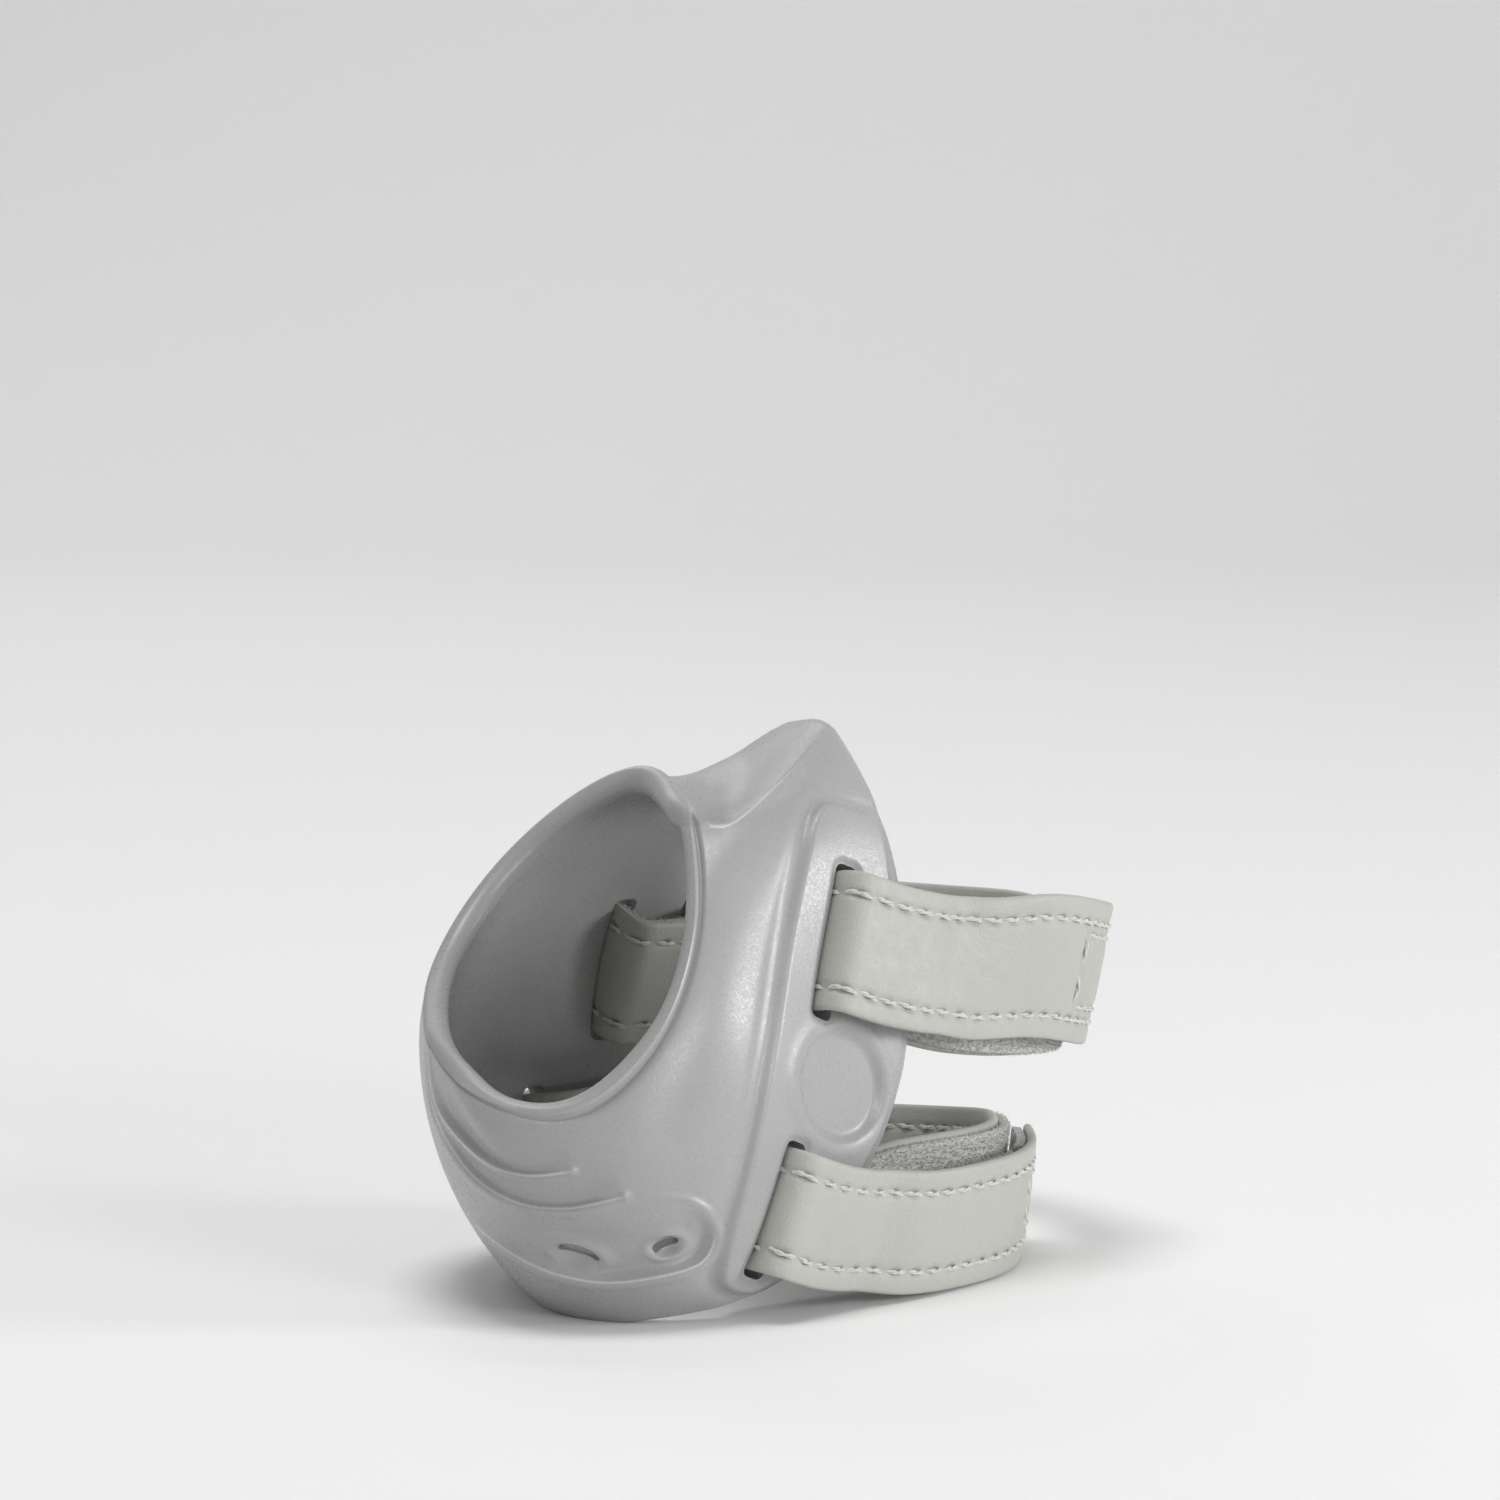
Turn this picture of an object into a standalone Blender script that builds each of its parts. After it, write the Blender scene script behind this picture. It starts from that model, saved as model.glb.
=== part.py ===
"""Thumb splint for the right hand: a moulded shell that cups the base of the thumb, and two straps.

Metres, +Z towards the knuckles, +X towards the back of the hand, +Y away from the thumb.
The splint stands on the wrist end of its shell and on the lower edge of its lower strap.
"""

import math
from collections import namedtuple

import bmesh
import bpy
import numpy as np

# Shell sizes
SHELL_WIDTH = 0.052
SHELL_DEPTH = 0.064
SHELL_HEIGHT = 0.060
SHELL_WALL = 0.0026
SHELL_SIDE = -0.037
FOOT_CUT = -0.0006
SIGHT_RISE = 0.14
SIGHT_DEPTH = 0.010

# Relief of the shell
RIM_BEAD_WIDTH = 0.0018
RIM_BEAD_RISE = 0.0005
PANEL_RISE = 0.0008
PANEL_FILLET = 0.0020
GROOVE_WIDTH = 0.0024
GROOVE_DEPTH = 0.0006
CHANNEL_WIDTH = 0.0062
CHANNEL_DEPTH = 0.0009
CHANNEL_LIP = 0.0006
DISH_DEPTH = 0.0005
DISH_FILLET = 0.0012
DIMPLE_DEPTH = 0.0005
RIDGE_RISE = 0.0005
RIDGE_WIDTH = 0.0016
VENT_WIDTH = 0.0010

# Straps
STRAP_FACE = 0.0010
STRAP_LINING = 0.0012
STRAP_GAP = 0.0003
LINING_INSET = 0.0005
UPPER_STRAP_WIDTH = 0.0155
LOWER_STRAP_WIDTH = 0.0136
SLOT_CLEARANCE = 0.00075
SLOT_CORNER = 0.0009
HOOK_PATCH_LENGTH = 0.016
HOOK_PATCH_THICK = 0.0010
LOOP_WIDTH = 0.073
LOOP_DEPTH = 0.088
TAIL_LENGTH = 0.011
FOLD_SWEEP = 0.15

# How finely the shapes are faceted
SHELL_TURNS = 108
SHELL_ROWS = 22
INNER_ROWS = 6
CAP_STEPS = 2
STRAP_STEP = 0.0034
BEND_STEPS = 4
BAR_BAND = 0.0015

# Sections of the shell, each from the thumb opening out to the outer edge: every point is a share
# of the shell's width across, its depth away from the thumb and its height.
Section = namedtuple("Section", "name rim near far edge")
SECTIONS = (
    Section("heel",
            (0.262, 0.02, 0.401), (0.302, 0.005, 0.26), (0.345, 0.055, 0.112), (0.458, 0.156, -0.02)),
    Section("heel_back",
            (0.362, 0.023, 0.43), (0.481, 0.019, 0.267), (0.56, 0.078, 0.105), (0.67, 0.188, 0.018)),
    Section("panel_foot",
            (0.457, 0.05, 0.499), (0.596, 0.066, 0.355), (0.721, 0.164, 0.196), (0.823, 0.273, 0.091)),
    Section("panel_low",
            (0.52, 0.094, 0.581), (0.664, 0.117, 0.495), (0.813, 0.242, 0.378), (0.952, 0.367, 0.257)),
    Section("panel_mid",
            (0.554, 0.153, 0.692), (0.69, 0.178, 0.644), (0.844, 0.30, 0.573), (1.021, 0.422, 0.501)),
    Section("panel_top",
            (0.553, 0.227, 0.793), (0.684, 0.235, 0.784), (0.834, 0.33, 0.777), (0.996, 0.445, 0.757)),
    Section("wing",
            (0.54, 0.312, 0.871), (0.656, 0.31, 0.863), (0.793, 0.38, 0.898), (0.925, 0.492, 0.921)),
    Section("ridge",
            (0.518, 0.391, 0.904), (0.623, 0.44, 0.879), (0.732, 0.49, 0.938), (0.849, 0.562, 1.011)),
    Section("web",
            (0.484, 0.461, 0.928), (0.576, 0.609, 0.902), (0.67, 0.688, 0.948), (0.765, 0.734, 0.985)),
    Section("web_palm",
            (0.421, 0.531, 0.924), (0.469, 0.719, 0.862), (0.553, 0.812, 0.832), (0.648, 0.859, 0.854)),
    Section("palm_top",
            (0.294, 0.586, 0.859), (0.31, 0.75, 0.75), (0.40, 0.875, 0.67), (0.529, 0.965, 0.665)),
    Section("palm_mid",
            (0.139, 0.555, 0.736), (0.14, 0.72, 0.58), (0.25, 0.87, 0.46), (0.442, 1.0, 0.414)),
    Section("palm_low",
            (0.04, 0.438, 0.607), (0.02, 0.64, 0.41), (0.13, 0.80, 0.235), (0.367, 0.92, 0.145)),
    Section("cup_back",
            (0.02, 0.281, 0.519), (0.0, 0.453, 0.369), (0.075, 0.60, 0.145), (0.32, 0.76, -0.02)),
    Section("cup_side",
            (0.056, 0.148, 0.459), (0.051, 0.227, 0.318), (0.128, 0.344, 0.10), (0.30, 0.52, -0.055)),
    Section("cup_front",
            (0.151, 0.055, 0.411), (0.16, 0.062, 0.285), (0.215, 0.141, 0.095), (0.345, 0.30, -0.05)),
)

# Outlines on the thumb side of the shell, seen square on: shares of its width and height.
PANEL_OUTLINE = (
    (0.817, 0.90), (0.781, 0.79), (0.749, 0.65), (0.721, 0.49), (0.688, 0.33), (0.656, 0.215),
    (0.628, 0.126), (0.62, 0.068), (0.66, 0.044), (0.717, 0.057), (0.812, 0.13), (0.919, 0.277),
    (0.973, 0.40), (0.991, 0.49), (0.982, 0.63), (0.966, 0.77), (0.942, 0.872), (0.881, 0.90),
)
UPPER_GROOVE = ((0.024, 0.542), (0.035, 0.401), (0.075, 0.33), (0.155, 0.273), (0.236, 0.254), (0.327, 0.261))
LOWER_GROOVE = ((0.023, 0.418), (0.055, 0.33), (0.125, 0.25), (0.216, 0.206), (0.317, 0.197), (0.432, 0.217))
CHANNEL_EDGE = (
    (0.114, 0.162), (0.165, 0.13), (0.266, 0.085), (0.377, 0.064), (0.478, 0.071), (0.579, 0.096),
    (0.61, 0.144), (0.587, 0.183),
)
PARTING_RIDGE = ((0.596, 0.869), (0.65, 0.876), (0.741, 0.949), (0.845, 1.049))
Oval = namedtuple("Oval", "across up half_long half_short turn")
DISH = Oval(0.858, 0.408, 0.0058, 0.0042, 96)
DIMPLES = (Oval(0.328, 0.101, 0.0032, 0.0013, -18), Oval(0.519, 0.121, 0.0025, 0.0013, 12))
VENTS = (Oval(0.333, 0.103, 0.0023, 0.0005, -12), Oval(0.519, 0.12, 0.0015, 0.0005, 16))

# Slots: the middle of each one's edge beside the bar, and its upper end. The front ones are seen
# square on, as above. The palm ones are shares of the shell's depth and height, seen from the palm.
UPPER_SLOT = ((0.824, 0.670), (0.851, 0.802))
LOWER_SLOT = ((0.711, 0.195), (0.747, 0.298))
UPPER_PALM_SLOT = ((0.90, 0.53), (0.855, 0.67))
LOWER_PALM_SLOT = ((0.82, 0.165), (0.83, 0.30))

# The straps' way round the hand: shares of the loop's width, depth and the shell's height, with
# the lean of the strap's upper edge outwards across and away.
Stop = namedtuple("Stop", "across away up lean_x lean_y")
UPPER_OUTER = (
    Stop(1.000, 0.716, 0.498, 0.20, 0.02),
    Stop(1.006, 0.636, 0.510, 0.20, 0.00),
    Stop(0.992, 0.556, 0.522, 0.20, 0.00),
    Stop(0.958, 0.480, 0.530, 0.20, 0.02),
    Stop(0.905, 0.425, 0.537, 0.20, 0.08),
    Stop(0.835, 0.362, 0.552, 0.20, 0.18),
)
UPPER_INNER = (
    Stop(0.790, 0.418, 0.528, 0.20, 0.18),
    Stop(0.862, 0.470, 0.508, 0.20, 0.08),
    Stop(0.914, 0.520, 0.497, 0.20, 0.00),
    Stop(0.951, 0.575, 0.490, 0.20, 0.00),
    Stop(0.964, 0.640, 0.484, 0.20, 0.02),
    Stop(0.957, 0.722, 0.480, 0.18, 0.04),
    Stop(0.905, 0.840, 0.485, 0.12, 0.12),
    Stop(0.790, 0.940, 0.480, 0.04, 0.20),
    Stop(0.640, 0.980, 0.485, 0.02, 0.14),
    Stop(0.500, 0.930, 0.500, 0.06, 0.02),
    Stop(0.420, 0.830, 0.520, 0.14, -0.12),
)
LOWER_OUTER = (
    Stop(0.892, 0.640, 0.105, 0.12, 0.00),
    Stop(0.896, 0.560, 0.105, 0.12, 0.00),
    Stop(0.888, 0.490, 0.105, 0.12, 0.00),
    Stop(0.860, 0.410, 0.105, 0.12, 0.00),
    Stop(0.800, 0.335, 0.106, 0.15, 0.04),
    Stop(0.730, 0.262, 0.110, 0.20, 0.10),
)
LOWER_INNER = (
    Stop(0.690, 0.335, 0.145, 0.20, 0.10),
    Stop(0.762, 0.387, 0.146, 0.15, 0.04),
    Stop(0.822, 0.447, 0.145, 0.12, 0.00),
    Stop(0.848, 0.505, 0.143, 0.12, 0.00),
    Stop(0.853, 0.570, 0.138, 0.12, 0.00),
    Stop(0.845, 0.645, 0.130, 0.10, 0.02),
    Stop(0.780, 0.745, 0.112, 0.06, 0.06),
    Stop(0.650, 0.805, 0.105, 0.00, 0.08),
    Stop(0.510, 0.810, 0.112, 0.00, 0.08),
    Stop(0.400, 0.765, 0.135, -0.02, 0.06),
)


def spread(points, sizes):
    """Shares turned into real lengths."""
    return np.array(points, float) * np.array(sizes)


def ring_coefficients(points):
    """Control values of the smooth closed curve that runs through the points in turn."""
    count = len(points)
    blend = np.zeros((count, count))
    for row in range(count):
        blend[row, row] = 4 / 6
        blend[row, (row + 1) % count] += 1 / 6
        blend[row, row - 1] += 1 / 6
    return np.linalg.solve(blend, points.reshape(count, -1)).reshape(points.shape)


SECTION_POINTS = spread(
    [[s.rim, s.near, s.far, s.edge] for s in SECTIONS], (SHELL_WIDTH, SHELL_DEPTH, SHELL_HEIGHT)
)
SECTION_POINTS[..., 0] += SHELL_SIDE
RING = ring_coefficients(SECTION_POINTS)


def skin(turn, out):
    """Point of the plain outer skin: turn runs round the opening in sections, out from rim to edge."""
    turn, out = np.broadcast_arrays(np.asarray(turn, float), np.asarray(out, float))
    first = np.floor(turn).astype(int)
    f = turn - first
    here, there = 3 * f**3 - 6 * f**2 + 4, 1 + 3 * f + 3 * f**2 - 3 * f**3
    weights = ((1 - f) ** 3 / 6, here / 6, there / 6, f**3 / 6)
    four = sum(w[..., None, None] * RING[(first + k - 1) % len(SECTIONS)] for k, w in enumerate(weights))
    a, b, c, d = out * 3, out * 3 - 1, out * 3 - 2, out * 3 - 3
    shares = (-b * c * d / 6, a * c * d / 2, -a * b * d / 2, a * b * c / 6)
    return sum(w[..., None] * four[..., k, :] for k, w in enumerate(shares))


def unit(vectors):
    return vectors / np.linalg.norm(vectors, axis=-1, keepdims=True)


def skin_frame(turn, out):
    """Outward normal of the skin, and the direction in which it runs out to the edge."""
    step = 1e-3
    along = skin(turn + step, out) - skin(turn - step, out)
    outwards = skin(turn, out + step) - skin(turn, out - step)
    return unit(np.cross(outwards, along)), unit(outwards)


def seen(points):
    """Where points lie in the square-on view of the thumb side."""
    rise = SIGHT_RISE * (points[..., 1] - SIGHT_DEPTH)
    return np.stack([points[..., 0], points[..., 2] + rise], -1)


def drawn(shares):
    """Outline shares turned into places in that view."""
    return spread(shares, (SHELL_WIDTH, SHELL_HEIGHT)) + (SHELL_SIDE, 0)


def seen_from_palm(points):
    """Where points lie in the view along the width of the shell."""
    return points[..., 1:]


def drawn_from_palm(shares):
    return spread(shares, (SHELL_DEPTH, SHELL_HEIGHT))


def ramp(x, low, high):
    """Smooth climb from 0 at low to 1 at high."""
    t = np.clip((x - low) / (high - low), 0, 1)
    return t * t * (3 - 2 * t)


def rounded(points, steps, closed=False):
    """Smooth curve through a few points, as many short straight runs."""
    points = np.asarray(points, float)
    count = len(points)
    runs = count if closed else count - 1
    places = []
    for run in range(runs):
        near = [(run + k) % count if closed else min(max(run + k, 0), count - 1) for k in (-1, 0, 1, 2)]
        p0, p1, p2, p3 = points[near]
        for t in np.arange(steps) / steps:
            bend = 2 * p0 - 5 * p1 + 4 * p2 - p3
            turn = -p0 + 3 * p1 - 3 * p2 + p3
            places.append(p1 + 0.5 * (t * (p2 - p0) + t * t * bend + t**3 * turn))
    if not closed:
        places.append(points[-1])
    return np.array(places)


def beside(places, path):
    """Distance to a path, the share of its length at the nearest place, and the side it is on."""
    best = np.full(len(places), np.inf)
    share = np.zeros(len(places))
    side = np.ones(len(places))
    for run in range(len(path) - 1):
        start, along = path[run], path[run + 1] - path[run]
        offset = places - start
        t = np.clip(offset @ along / (along @ along), 0, 1)
        gap = np.linalg.norm(offset - t[:, None] * along, axis=1)
        nearer = gap < best
        best[nearer] = gap[nearer]
        share[nearer] = ((run + t) / (len(path) - 1))[nearer]
        side[nearer] = np.sign(along[0] * offset[:, 1] - along[1] * offset[:, 0])[nearer]
    return best, share, side


def depth_inside(places, outline):
    """Distance in from a closed outline, negative outside it."""
    loop = np.vstack([outline, outline[:1]])
    gap, _, _ = beside(places, loop)
    crossings = np.zeros(len(places), int)
    for (x0, y0), (x1, y1) in zip(loop[:-1], loop[1:]):
        spans = (y0 > places[:, 1]) != (y1 > places[:, 1])
        level = np.where(spans, (places[:, 1] - y0) / (y1 - y0 if y1 != y0 else 1), 0)
        crossings += spans & (places[:, 0] < x0 + level * (x1 - x0))
    return np.where(crossings % 2, gap, -gap)


def oval_reach(places, oval):
    """1 on the oval's outline, 0 at its middle."""
    middle = drawn([oval.across, oval.up])
    turn = math.radians(oval.turn)
    offset = places - middle
    long = offset @ (math.cos(turn), math.sin(turn)) / oval.half_long
    short = offset @ (-math.sin(turn), math.cos(turn)) / oval.half_short
    return np.hypot(long, short)


def groove(places, points, width, depth):
    """A shallow channel whose lower side is a crisp lip."""
    gap, share, side = beside(places, rounded(drawn(points), 8))
    above = gap * side
    bowl = ramp(above, -0.1 * width, 0.25 * width) * (1 - ramp(above, 0.35 * width, width))
    ends = ramp(share, 0.0, 0.1) * (1 - ramp(share, 0.985, 1.0))
    return -depth * bowl * ends


def relief(points, normals, from_rim):
    """Height of the raised and sunken detail above the plain skin."""
    places = seen(points)
    facing = 1 - ramp(normals[:, 1], -0.05, 0.35)
    height = RIM_BEAD_RISE * (1 - ramp(from_rim, RIM_BEAD_WIDTH, 1.4 * RIM_BEAD_WIDTH))
    height -= 0.4 * RIM_BEAD_RISE * ramp(from_rim, RIM_BEAD_WIDTH, 1.3 * RIM_BEAD_WIDTH) * (
        1 - ramp(from_rim, 1.5 * RIM_BEAD_WIDTH, 2.4 * RIM_BEAD_WIDTH)
    )
    front = np.zeros(len(points))
    panel = depth_inside(places, rounded(drawn(PANEL_OUTLINE), 4, closed=True))
    front += PANEL_RISE * ramp(panel, -0.5 * PANEL_FILLET, 0.5 * PANEL_FILLET)
    for points_of_groove in (UPPER_GROOVE, LOWER_GROOVE):
        front += groove(places, points_of_groove, GROOVE_WIDTH, GROOVE_DEPTH)
    gap, share, side = beside(places, rounded(drawn(CHANNEL_EDGE), 6))
    above = gap * side
    scoop = ramp(above, 0, CHANNEL_LIP) * (1 - ramp(above, 0.25 * CHANNEL_WIDTH, CHANNEL_WIDTH))
    front -= CHANNEL_DEPTH * scoop * ramp(share, 0.0, 0.25) * (1 - ramp(share, 0.97, 1.0))
    dish = oval_reach(places, DISH) - 1
    front -= DISH_DEPTH * (1 - ramp(dish * DISH.half_short, -0.5 * DISH_FILLET, 0.5 * DISH_FILLET))
    for dimple in DIMPLES:
        front -= DIMPLE_DEPTH * (1 - ramp(oval_reach(places, dimple), 0.3, 1.2))
    gap, share, _ = beside(places, rounded(drawn(PARTING_RIDGE), 6))
    front += RIDGE_RISE * (1 - ramp(gap, 0, RIDGE_WIDTH)) * ramp(share, 0, 0.2)
    return height + front * facing


def shell_mesh(turns, rows, inner_rows, cap_steps):
    """The shell as one closed skin: a ring of sections, each out over the face and back inside."""
    turn = np.arange(turns) * len(SECTIONS) / turns
    measured = skin(turn[:, None], np.linspace(0, 1, 17)[None, :])
    lengths = np.linalg.norm(np.diff(measured, axis=1), axis=2).sum(axis=1)
    near_rim = np.array([0, 0.3, 0.55, 0.85, 1.4]) * RIM_BEAD_WIDTH
    start = SHELL_WALL / 2 / lengths
    stop = 1 - start
    first = start[:, None] + near_rim[None, :] / lengths[:, None]
    rest = np.linspace(0, 1, rows)[None, 1:]
    outs = np.hstack([first, first[:, -1:] + (stop[:, None] - first[:, -1:]) * rest])
    turns_grid = np.broadcast_to(turn[:, None], outs.shape)
    base = skin(turns_grid, outs)
    normals, outwards = skin_frame(turns_grid, outs)
    from_rim = outs * lengths[:, None]
    height = relief(base.reshape(-1, 3), normals.reshape(-1, 3), from_rim.ravel())
    face = base + normals * height.reshape(outs.shape)[..., None]
    back = np.linspace(1, 0, inner_rows)[None, :]
    inner_outs = start[:, None] + (stop - start)[:, None] * back
    inner_turns = np.broadcast_to(turn[:, None], inner_outs.shape)
    inner_normals, _ = skin_frame(inner_turns, inner_outs)
    inside = skin(inner_turns, inner_outs) - inner_normals * SHELL_WALL
    angles = np.pi * np.arange(1, cap_steps + 1) / (cap_steps + 1)

    def cap(top, bottom, bulge):
        middle, half = (top + bottom) / 2, (top - bottom) / 2
        reach = bulge * SHELL_WALL / 2
        return np.stack([middle + half * math.cos(a) + reach * math.sin(a) for a in angles], axis=1)

    edge_cap = cap(face[:, -1], inside[:, 0], outwards[:, -1])
    rim_cap = cap(inside[:, -1], face[:, 0], -outwards[:, 0])
    return np.concatenate([face, edge_cap, inside, rim_cap], axis=1)


def ring_object(name, grid, colour, roughness):
    """Object from a grid of points that closes on itself both ways."""
    around, across = grid.shape[:2]
    number = np.arange(around * across).reshape(around, across)
    right = np.roll(number, -1, axis=0)
    up = np.roll(number, -1, axis=1)
    both = np.roll(right, -1, axis=1)
    faces = np.stack([number, right, both, up], axis=-1).reshape(-1, 4)
    return finished(name, grid.reshape(-1, 3), faces.tolist(), colour, roughness)


def finished(name, points, faces, colour, roughness):
    """Closed mesh object, its faces turned outwards and shaded smooth, with its own material."""
    mesh = bpy.data.meshes.new(name)
    mesh.from_pydata(points.tolist(), [], faces)
    shape = bmesh.new()
    shape.from_mesh(mesh)
    bmesh.ops.recalc_face_normals(shape, faces=shape.faces)
    shape.to_mesh(mesh)
    shape.free()
    mesh.shade_smooth()
    mesh.set_sharp_from_angle(angle=math.radians(40))
    obj = bpy.data.objects.new(name, mesh)
    bpy.context.scene.collection.objects.link(obj)
    if colour:
        material = bpy.data.materials.new(name)
        material.use_nodes = True
        surface = material.node_tree.nodes["Principled BSDF"]
        surface.inputs["Base Color"].default_value = (*colour, 1)
        surface.inputs["Roughness"].default_value = roughness
        mesh.materials.append(material)
    return obj


def cut(obj, cutter):
    """Takes the cutter's shape out of the object."""
    cutter.hide_render = True
    cutter.display_type = "WIRE"
    cutting = obj.modifiers.new(cutter.name, "BOOLEAN")
    cutting.operation = "DIFFERENCE"
    cutting.solver = "EXACT"
    cutting.object = cutter


def locate(wanted, measure, back):
    """Turn and out of the place on the skin whose measure is the wanted pair, on front or back."""
    turns, outs = np.meshgrid(np.arange(0, len(SECTIONS), 0.125), np.linspace(0.02, 0.98, 25), indexing="ij")
    points = skin(turns, outs)
    normals, _ = skin_frame(turns, outs)
    miss = np.linalg.norm(measure(points) - wanted, axis=-1)
    miss[(normals[..., 1] > 0.1) != back] += 1
    spot = np.unravel_index(np.argmin(miss), miss.shape)
    place = np.array([turns[spot], outs[spot]])
    step = 1e-4
    for _ in range(12):
        here = measure(skin(*place))
        slope = np.stack([(measure(skin(place[0] + step, place[1])) - here) / step,
                          (measure(skin(place[0], place[1] + step)) - here) / step], axis=1)
        place = place - np.linalg.solve(slope, here - wanted)
    return place


# A bar is what a strap folds over: along runs up the slot, over is outwards, on runs across the
# bar from the slot to the shell's edge, and corner is the slot's middle on the bar's own side.
Bar = namedtuple("Bar", "corner along over on turn")


def bar_at(slot, measure, scale, back):
    """The bar beside a slot, from the slot's middle and upper end."""
    ends = [locate(scale(place), measure, back) for place in slot]
    middle, upper = skin(*ends[0]), skin(*ends[1])
    along = unit(upper - middle)
    if along[2] < 0:
        along = -along
    normal, _ = skin_frame(*ends[0])
    over = unit(normal - along * (normal @ along))
    on = np.cross(over, along)
    _, outwards = skin_frame(*ends[0])
    if on @ outwards < 0:
        on = -on
    return Bar(middle + on * slot_width(), along, over, on, ends[0][0])


def slot_width():
    """What the doubled strap needs, with its clearance on both sides."""
    return STRAP_FACE + STRAP_LINING + 3 * STRAP_GAP + 0.0001


def layer_rise():
    """From a strap's middle to the middle of the gap beside its lining."""
    return STRAP_LINING + STRAP_GAP


def bar_levels(bar, width, rise, steps, pick):
    """Level of the shell's face under the strap at each step across the bar."""
    turns = bar.turn + np.linspace(-2, 2, 161)[:, None]
    outs = np.linspace(0.3, 1, 71)[None, :]
    normals, _ = skin_frame(*np.broadcast_arrays(turns, outs))
    places = skin(turns, outs) + normals * rise - bar.corner
    covered = np.abs(places @ bar.along) < width / 2 + STRAP_GAP
    across = places @ bar.on
    levels = places @ bar.over
    return [pick(levels[covered & (np.abs(across - step) < BAR_BAND)]) for step in steps]


def bar_width(bar, width):
    """From the slot to the farthest place at which the shell's edge is under the strap."""
    edge = skin(bar.turn + np.linspace(-2, 2, 161), 1) - bar.corner
    return max((edge @ bar.on)[np.abs(edge @ bar.along) < width / 2])


def fold(bar, width, front_rise, sweep):
    """Two edge lines of a strap folded through the slot: in over the bar, through, out under it."""
    clear = layer_rise() + STRAP_GAP / 2
    reach = bar_width(bar, width)
    steps = [reach, reach * 2 / 3, reach / 3, 0]
    over = [level + clear for level in bar_levels(bar, width, front_rise, steps, np.max)]
    under = [level - clear for level in bar_levels(bar, width, -SHELL_WALL, steps, np.min)]
    quarter = [math.pi / 2 * k / BEND_STEPS for k in range(BEND_STEPS + 1)]
    line = list(zip(steps[:-1], over[:-1]))
    line += [(-clear * math.sin(a), over[-1] - clear + clear * math.cos(a)) for a in quarter]
    line += [(-clear * math.cos(a), under[-1] + clear - clear * math.sin(a)) for a in quarter]
    line += list(zip(steps[-2::-1], under[-2::-1]))
    middle = np.array([bar.corner + bar.on * step + bar.over * level for step, level in line])
    middle += [bar.along * bar.along[2] * sweep * max(step, 0) ** 2 / reach for step, level in line]
    half = bar.along * width / 2
    return np.stack([middle - half, middle + half], axis=1)


def stops_line(stops, width):
    """Edge lines of a strap along its stops."""
    rows = []
    for stop in stops:
        middle = spread(stop[:3], (LOOP_WIDTH, LOOP_DEPTH, SHELL_HEIGHT)) + (SHELL_SIDE, 0, 0)
        lean = unit(np.array([stop.lean_x, stop.lean_y, 1.0]))
        rows.append((middle - lean * width / 2, middle + lean * width / 2))
    return np.array(rows)


def strap_route(outer, inner, front_bar, palm_bar, width):
    """Both edges of the strap's middle layer, from the free end to the sewn tail."""
    front = fold(front_bar, width, PANEL_RISE, FOLD_SWEEP)
    palm = fold(palm_bar, width, 0, 0)[::-1]
    round_hand = stops_line(inner, width)
    last, before = round_hand[-1], round_hand[-2]
    heading = unit(last.mean(axis=0) - before.mean(axis=0))
    doubled = unit(np.cross(heading, last[1] - last[0])) * 2 * layer_rise()
    tail_end = last + (before - last) * TAIL_LENGTH / np.linalg.norm(before - last, axis=1, keepdims=True)
    tail = np.array([last + doubled, (last + tail_end) / 2 + doubled, tail_end + doubled])
    rough = np.concatenate([stops_line(outer, width), front, round_hand, palm, tail])
    middles = rough.mean(axis=1)
    fine = [rough[:1]]
    for run in range(len(rough) - 1):
        near = rough[[max(run - 1, 0), run, run + 1, min(run + 2, len(rough) - 1)]]
        knots = np.linalg.norm(np.diff(near.mean(axis=1), axis=0), axis=1) ** 0.5
        length = np.linalg.norm(middles[run + 1] - middles[run])
        pieces = max(1, round(length / STRAP_STEP))
        fine.append(between(near, knots, np.arange(1, pieces + 1) / pieces))
    route = np.concatenate(fine)
    middle = route.mean(axis=1)
    across = unit(route[:, 1] - route[:, 0])
    return middle, across


def between(near, knots, shares):
    """Smooth run from the second to the third of four places, spaced by their own distances."""
    p0, p1, p2, p3 = near
    before, here, after = knots
    leave = (p2 - p1) / here
    arrive = leave
    if before > 0:
        leave = (p1 - p0) / before - (p2 - p0) / (before + here) + (p2 - p1) / here
    if after > 0:
        arrive = (p2 - p1) / here - (p3 - p1) / (here + after) + (p3 - p2) / after
    t = shares[:, None, None]
    ease = (2 * t**3 - 3 * t**2 + 1, t**3 - 2 * t**2 + t, -2 * t**3 + 3 * t**2, t**3 - t**2)
    return ease[0] * p1 + ease[1] * leave * here + ease[2] * p2 + ease[3] * arrive * here


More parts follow.
